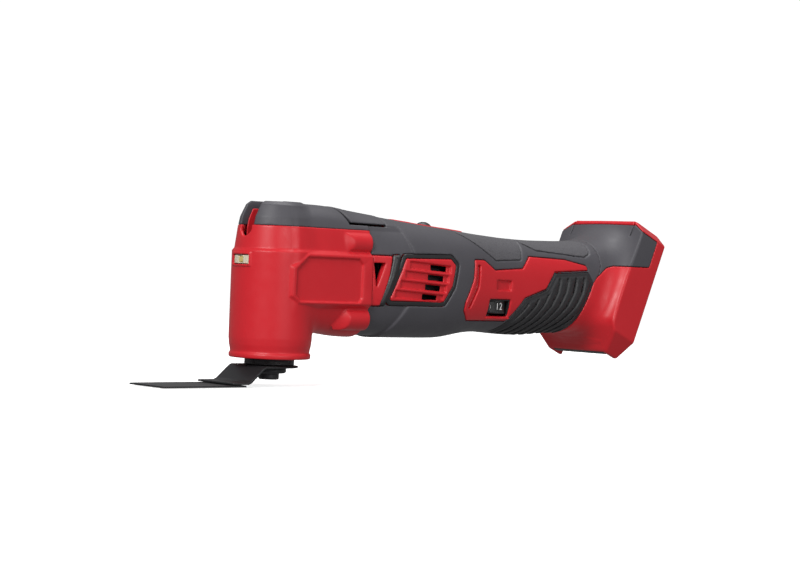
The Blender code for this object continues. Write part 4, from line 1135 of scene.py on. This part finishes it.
def terminal_field(t, y, s):
    plate = block(t, y, s, 9.8, 12.2, -23.5, 23.5, 17.3, 92.0, 0.5)
    plate = smin(plate, block(t, y, s, 11.0, 20.0, -17.0, 17.0, 80.0, 91.0, 0.9), 0.5)
    for i in range(5):
        cy = -14.0 + 7.0 * i
        plate = carve(plate, block(t, y, s, 13.6, 18.4, cy - 1.9, cy + 1.9, 70.0, 88.0, 0.4), 0.3)
    for i in range(2):
        cy = -9.0 + 18.0 * i
        plate = carve(plate, block(t, y, s, 13.6, 18.4, cy - 0.8, cy + 0.8, 70.0, 88.0, 0.2), 0.2)
    latch = block(t, np.abs(y), s, 11.0, 30.0, 14.0, 21.0, 24.0, 30.0, 1.0)
    plate = carve(plate, latch, 0.4)
    sill = smax(block(t, y, s, 14.8, 19.0, -23.4, 23.4, 9.0, 17.2, 0.5), foot_block(t, y, s) + 0.15, 0.5)
    bridge = block(t, y, s, 10.2, 18.0, -21.0, 21.0, 18.3, 20.4, 0.4)
    web = block(t, y, s, 16.4, 18.0, -21.0, 21.0, 15.5, 20.4, 0.3)
    return smin(smin(plate, sill, 0.4), smin(bridge, web, 0.3), 0.4)


def build_foot():
    moulded("foot_shell", foot_field, (-27, -39.4, 6), (26.2, 39.4, 106.0), 0.65, *RED_PART,
            ("battery_foot",), FOOT_MATRIX, keep=0.5)
    moulded("foot_soft_cover", foot_cover_field, (-29, -39.4, 44), (18, 39.4, 103), 0.6, *GREY_PART,
            ("foot_cover",), FOOT_MATRIX, keep=0.5)
    moulded("battery_terminal", terminal_field, (9, -24, 9), (20.5, 24, 93), 0.5, *BLACK_PART,
            ("terminal_block",), FOOT_MATRIX, keep=0.5)


# ---- screws

def screw_field(start, length, head_r):
    """A pan-head screw along +X from start, with a six-lobed socket in its head."""
    def field(x, y, z):
        radius = np.sqrt(y * y + z * z)
        head = smax(radius - head_r, np.abs(x - start - 1.3) - 1.3, 0.7)
        thread = 0.18 * np.abs(np.mod(x * 1.1 + np.arctan2(z, y) / math.tau, 1.0) - 0.5) * 2
        shank = smax(radius - 1.38 + thread - 0.1, np.abs(x - start - length / 2) - length / 2, 0.3)
        lobe = radius - 1.25 - 0.22 * np.cos(6 * np.arctan2(z, y))
        return carve(smin(head, shank, 0.2), smax(lobe, x - start - 1.6, 0.1), 0.15)

    return field


def build_screws():
    number = 1
    for side in (-1.0, 1.0):
        for z in BOSS_Z:
            moulded(f"neck_screw_{number}", screw_field(42.0, 15.0, 3.05), (41.8, -3.3, -3.3),
                    (57.2, 3.3, 3.3), 0.33, *STEEL_PART, (f"head_screw_{number}",),
                    Matrix.Translation((0, side * BOSS_Y, z)), keep=0.5)
            number += 1
    turn = Matrix.Rotation(math.radians(-90.0), 4, "Z")
    for i, (x, z) in enumerate(HOUSING_SCREWS, 1):
        moulded(f"clamshell_screw_{i}", screw_field(-19.4, 31.3, 2.95), (-19.6, -3.2, -3.2), (12.1, 3.2, 3.2),
                0.33, *STEEL_PART, (f"housing_screw_{i}",),
                Matrix.Translation((x, 0, z)) @ turn, keep=0.4)


# ---- stage

WORLD_STRENGTH = 0.26
FLOOR_GLOW = 0.75
SWEEP_HALF_W = 8.0
SWEEP_R = 2.0
FLOOR_BELOW = 0.0006        # metres from the blade to the floor


def build_stage():
    """A pale sweep: floor under the tool, curving up behind it."""
    bm = bmesh.new()
    profile = [(-6.0, 0.0), (2.5, 0.0)]
    profile += [(2.5 + SWEEP_R * math.sin(a), SWEEP_R - SWEEP_R * math.cos(a))
                for a in (math.radians(6 * i) for i in range(1, 16))]
    profile.append((4.5, 7.0))
    rows = [[bm.verts.new((x, y, z - FLOOR_BELOW)) for y, z in profile]
            for x in (-SWEEP_HALF_W, SWEEP_HALF_W)]
    for i in range(len(profile) - 1):
        bm.faces.new((rows[0][i], rows[0][i + 1], rows[1][i + 1], rows[1][i]))
    mesh = bpy.data.meshes.new("sweep")
    bmesh.ops.recalc_face_normals(bm, faces=bm.faces)
    bm.to_mesh(mesh)
    bm.free()
    mesh.shade_smooth()
    obj = bpy.data.objects.new("sweep", mesh)
    obj.rotation_euler = (0.0, 0.0, math.radians(-42.0))
    bpy.context.scene.collection.objects.link(obj)
    mat, _, shader = new_material("pale_floor")
    settle(shader, Base_Color=(0.92, 0.92, 0.92, 1.0), Roughness=0.9,
           Emission_Color=(1.0, 1.0, 1.0, 1.0), Emission_Strength=FLOOR_GLOW)
    mesh.materials.append(mat)
    obj.visible_diffuse = False
    obj.visible_glossy = False


def area_light(name, location, target, size, power):
    light = bpy.data.lights.new(name, "AREA")
    light.shape = "RECTANGLE"
    light.size, light.size_y = size
    light.energy = power
    obj = bpy.data.objects.new(name, light)
    obj.location = location
    obj.rotation_euler = (Vector(target) - Vector(location)).to_track_quat("-Z", "Y").to_euler()
    bpy.context.scene.collection.objects.link(obj)


def build_lights():
    world = bpy.data.worlds.new("studio")
    bpy.context.scene.world = world
    world.use_nodes = True
    settle(world.node_tree.nodes["Background"], Color=(1.0, 1.0, 1.0, 1.0), Strength=WORLD_STRENGTH)
    area_light("key", (-1.35, -0.65, 1.0), (0.0, 0.0, 0.05), (0.7, 0.7), 24.0)
    area_light("front", (-0.2, -1.8, 0.5), (0.05, 0.0, 0.05), (1.0, 0.4), 8.0)
    area_light("top", (0.3, 0.1, 1.4), (0.05, 0.0, 0.05), (1.3, 0.3), 12.0)


CAMERA_FOCUS = (103.16, 0.0, 42.40)     # tool millimetres
CAMERA_DISTANCE = 1243.94
CAMERA_AZIMUTH = math.radians(-42.0)
CAMERA_ELEVATION = math.radians(0.663)
CAMERA_ROLL = math.radians(2.362)
CAMERA_LENS = 88.17


def build_camera():
    back = Vector((math.sin(CAMERA_AZIMUTH) * math.cos(CAMERA_ELEVATION),
                   -math.cos(CAMERA_AZIMUTH) * math.cos(CAMERA_ELEVATION), math.sin(CAMERA_ELEVATION)))
    right = Vector((math.cos(CAMERA_AZIMUTH), math.sin(CAMERA_AZIMUTH), 0.0))
    up = back.cross(right)
    right, up = (right * math.cos(CAMERA_ROLL) + up * math.sin(CAMERA_ROLL),
                 up * math.cos(CAMERA_ROLL) - right * math.sin(CAMERA_ROLL))
    data = bpy.data.cameras.new("camera")
    data.lens = CAMERA_LENS
    data.sensor_width = 36.0
    data.clip_start, data.clip_end = 0.05, 50.0
    obj = bpy.data.objects.new("camera", data)
    turn = Matrix((right, up, back)).transposed().to_4x4()
    place = SHIFT + (Vector(CAMERA_FOCUS) + back * CAMERA_DISTANCE) * MM
    obj.matrix_world = Matrix.Translation(place) @ turn
    bpy.context.scene.collection.objects.link(obj)
    bpy.context.scene.camera = obj
    bpy.context.scene.view_settings.view_transform = "Standard"


# ---- assembly

build_camera()
build_stage()
build_lights()
dress_cad_nodes()
build_head()
build_lamp()
build_sides()
build_controls()
build_blade()
build_clamp_spring()
build_foot()
build_screws()
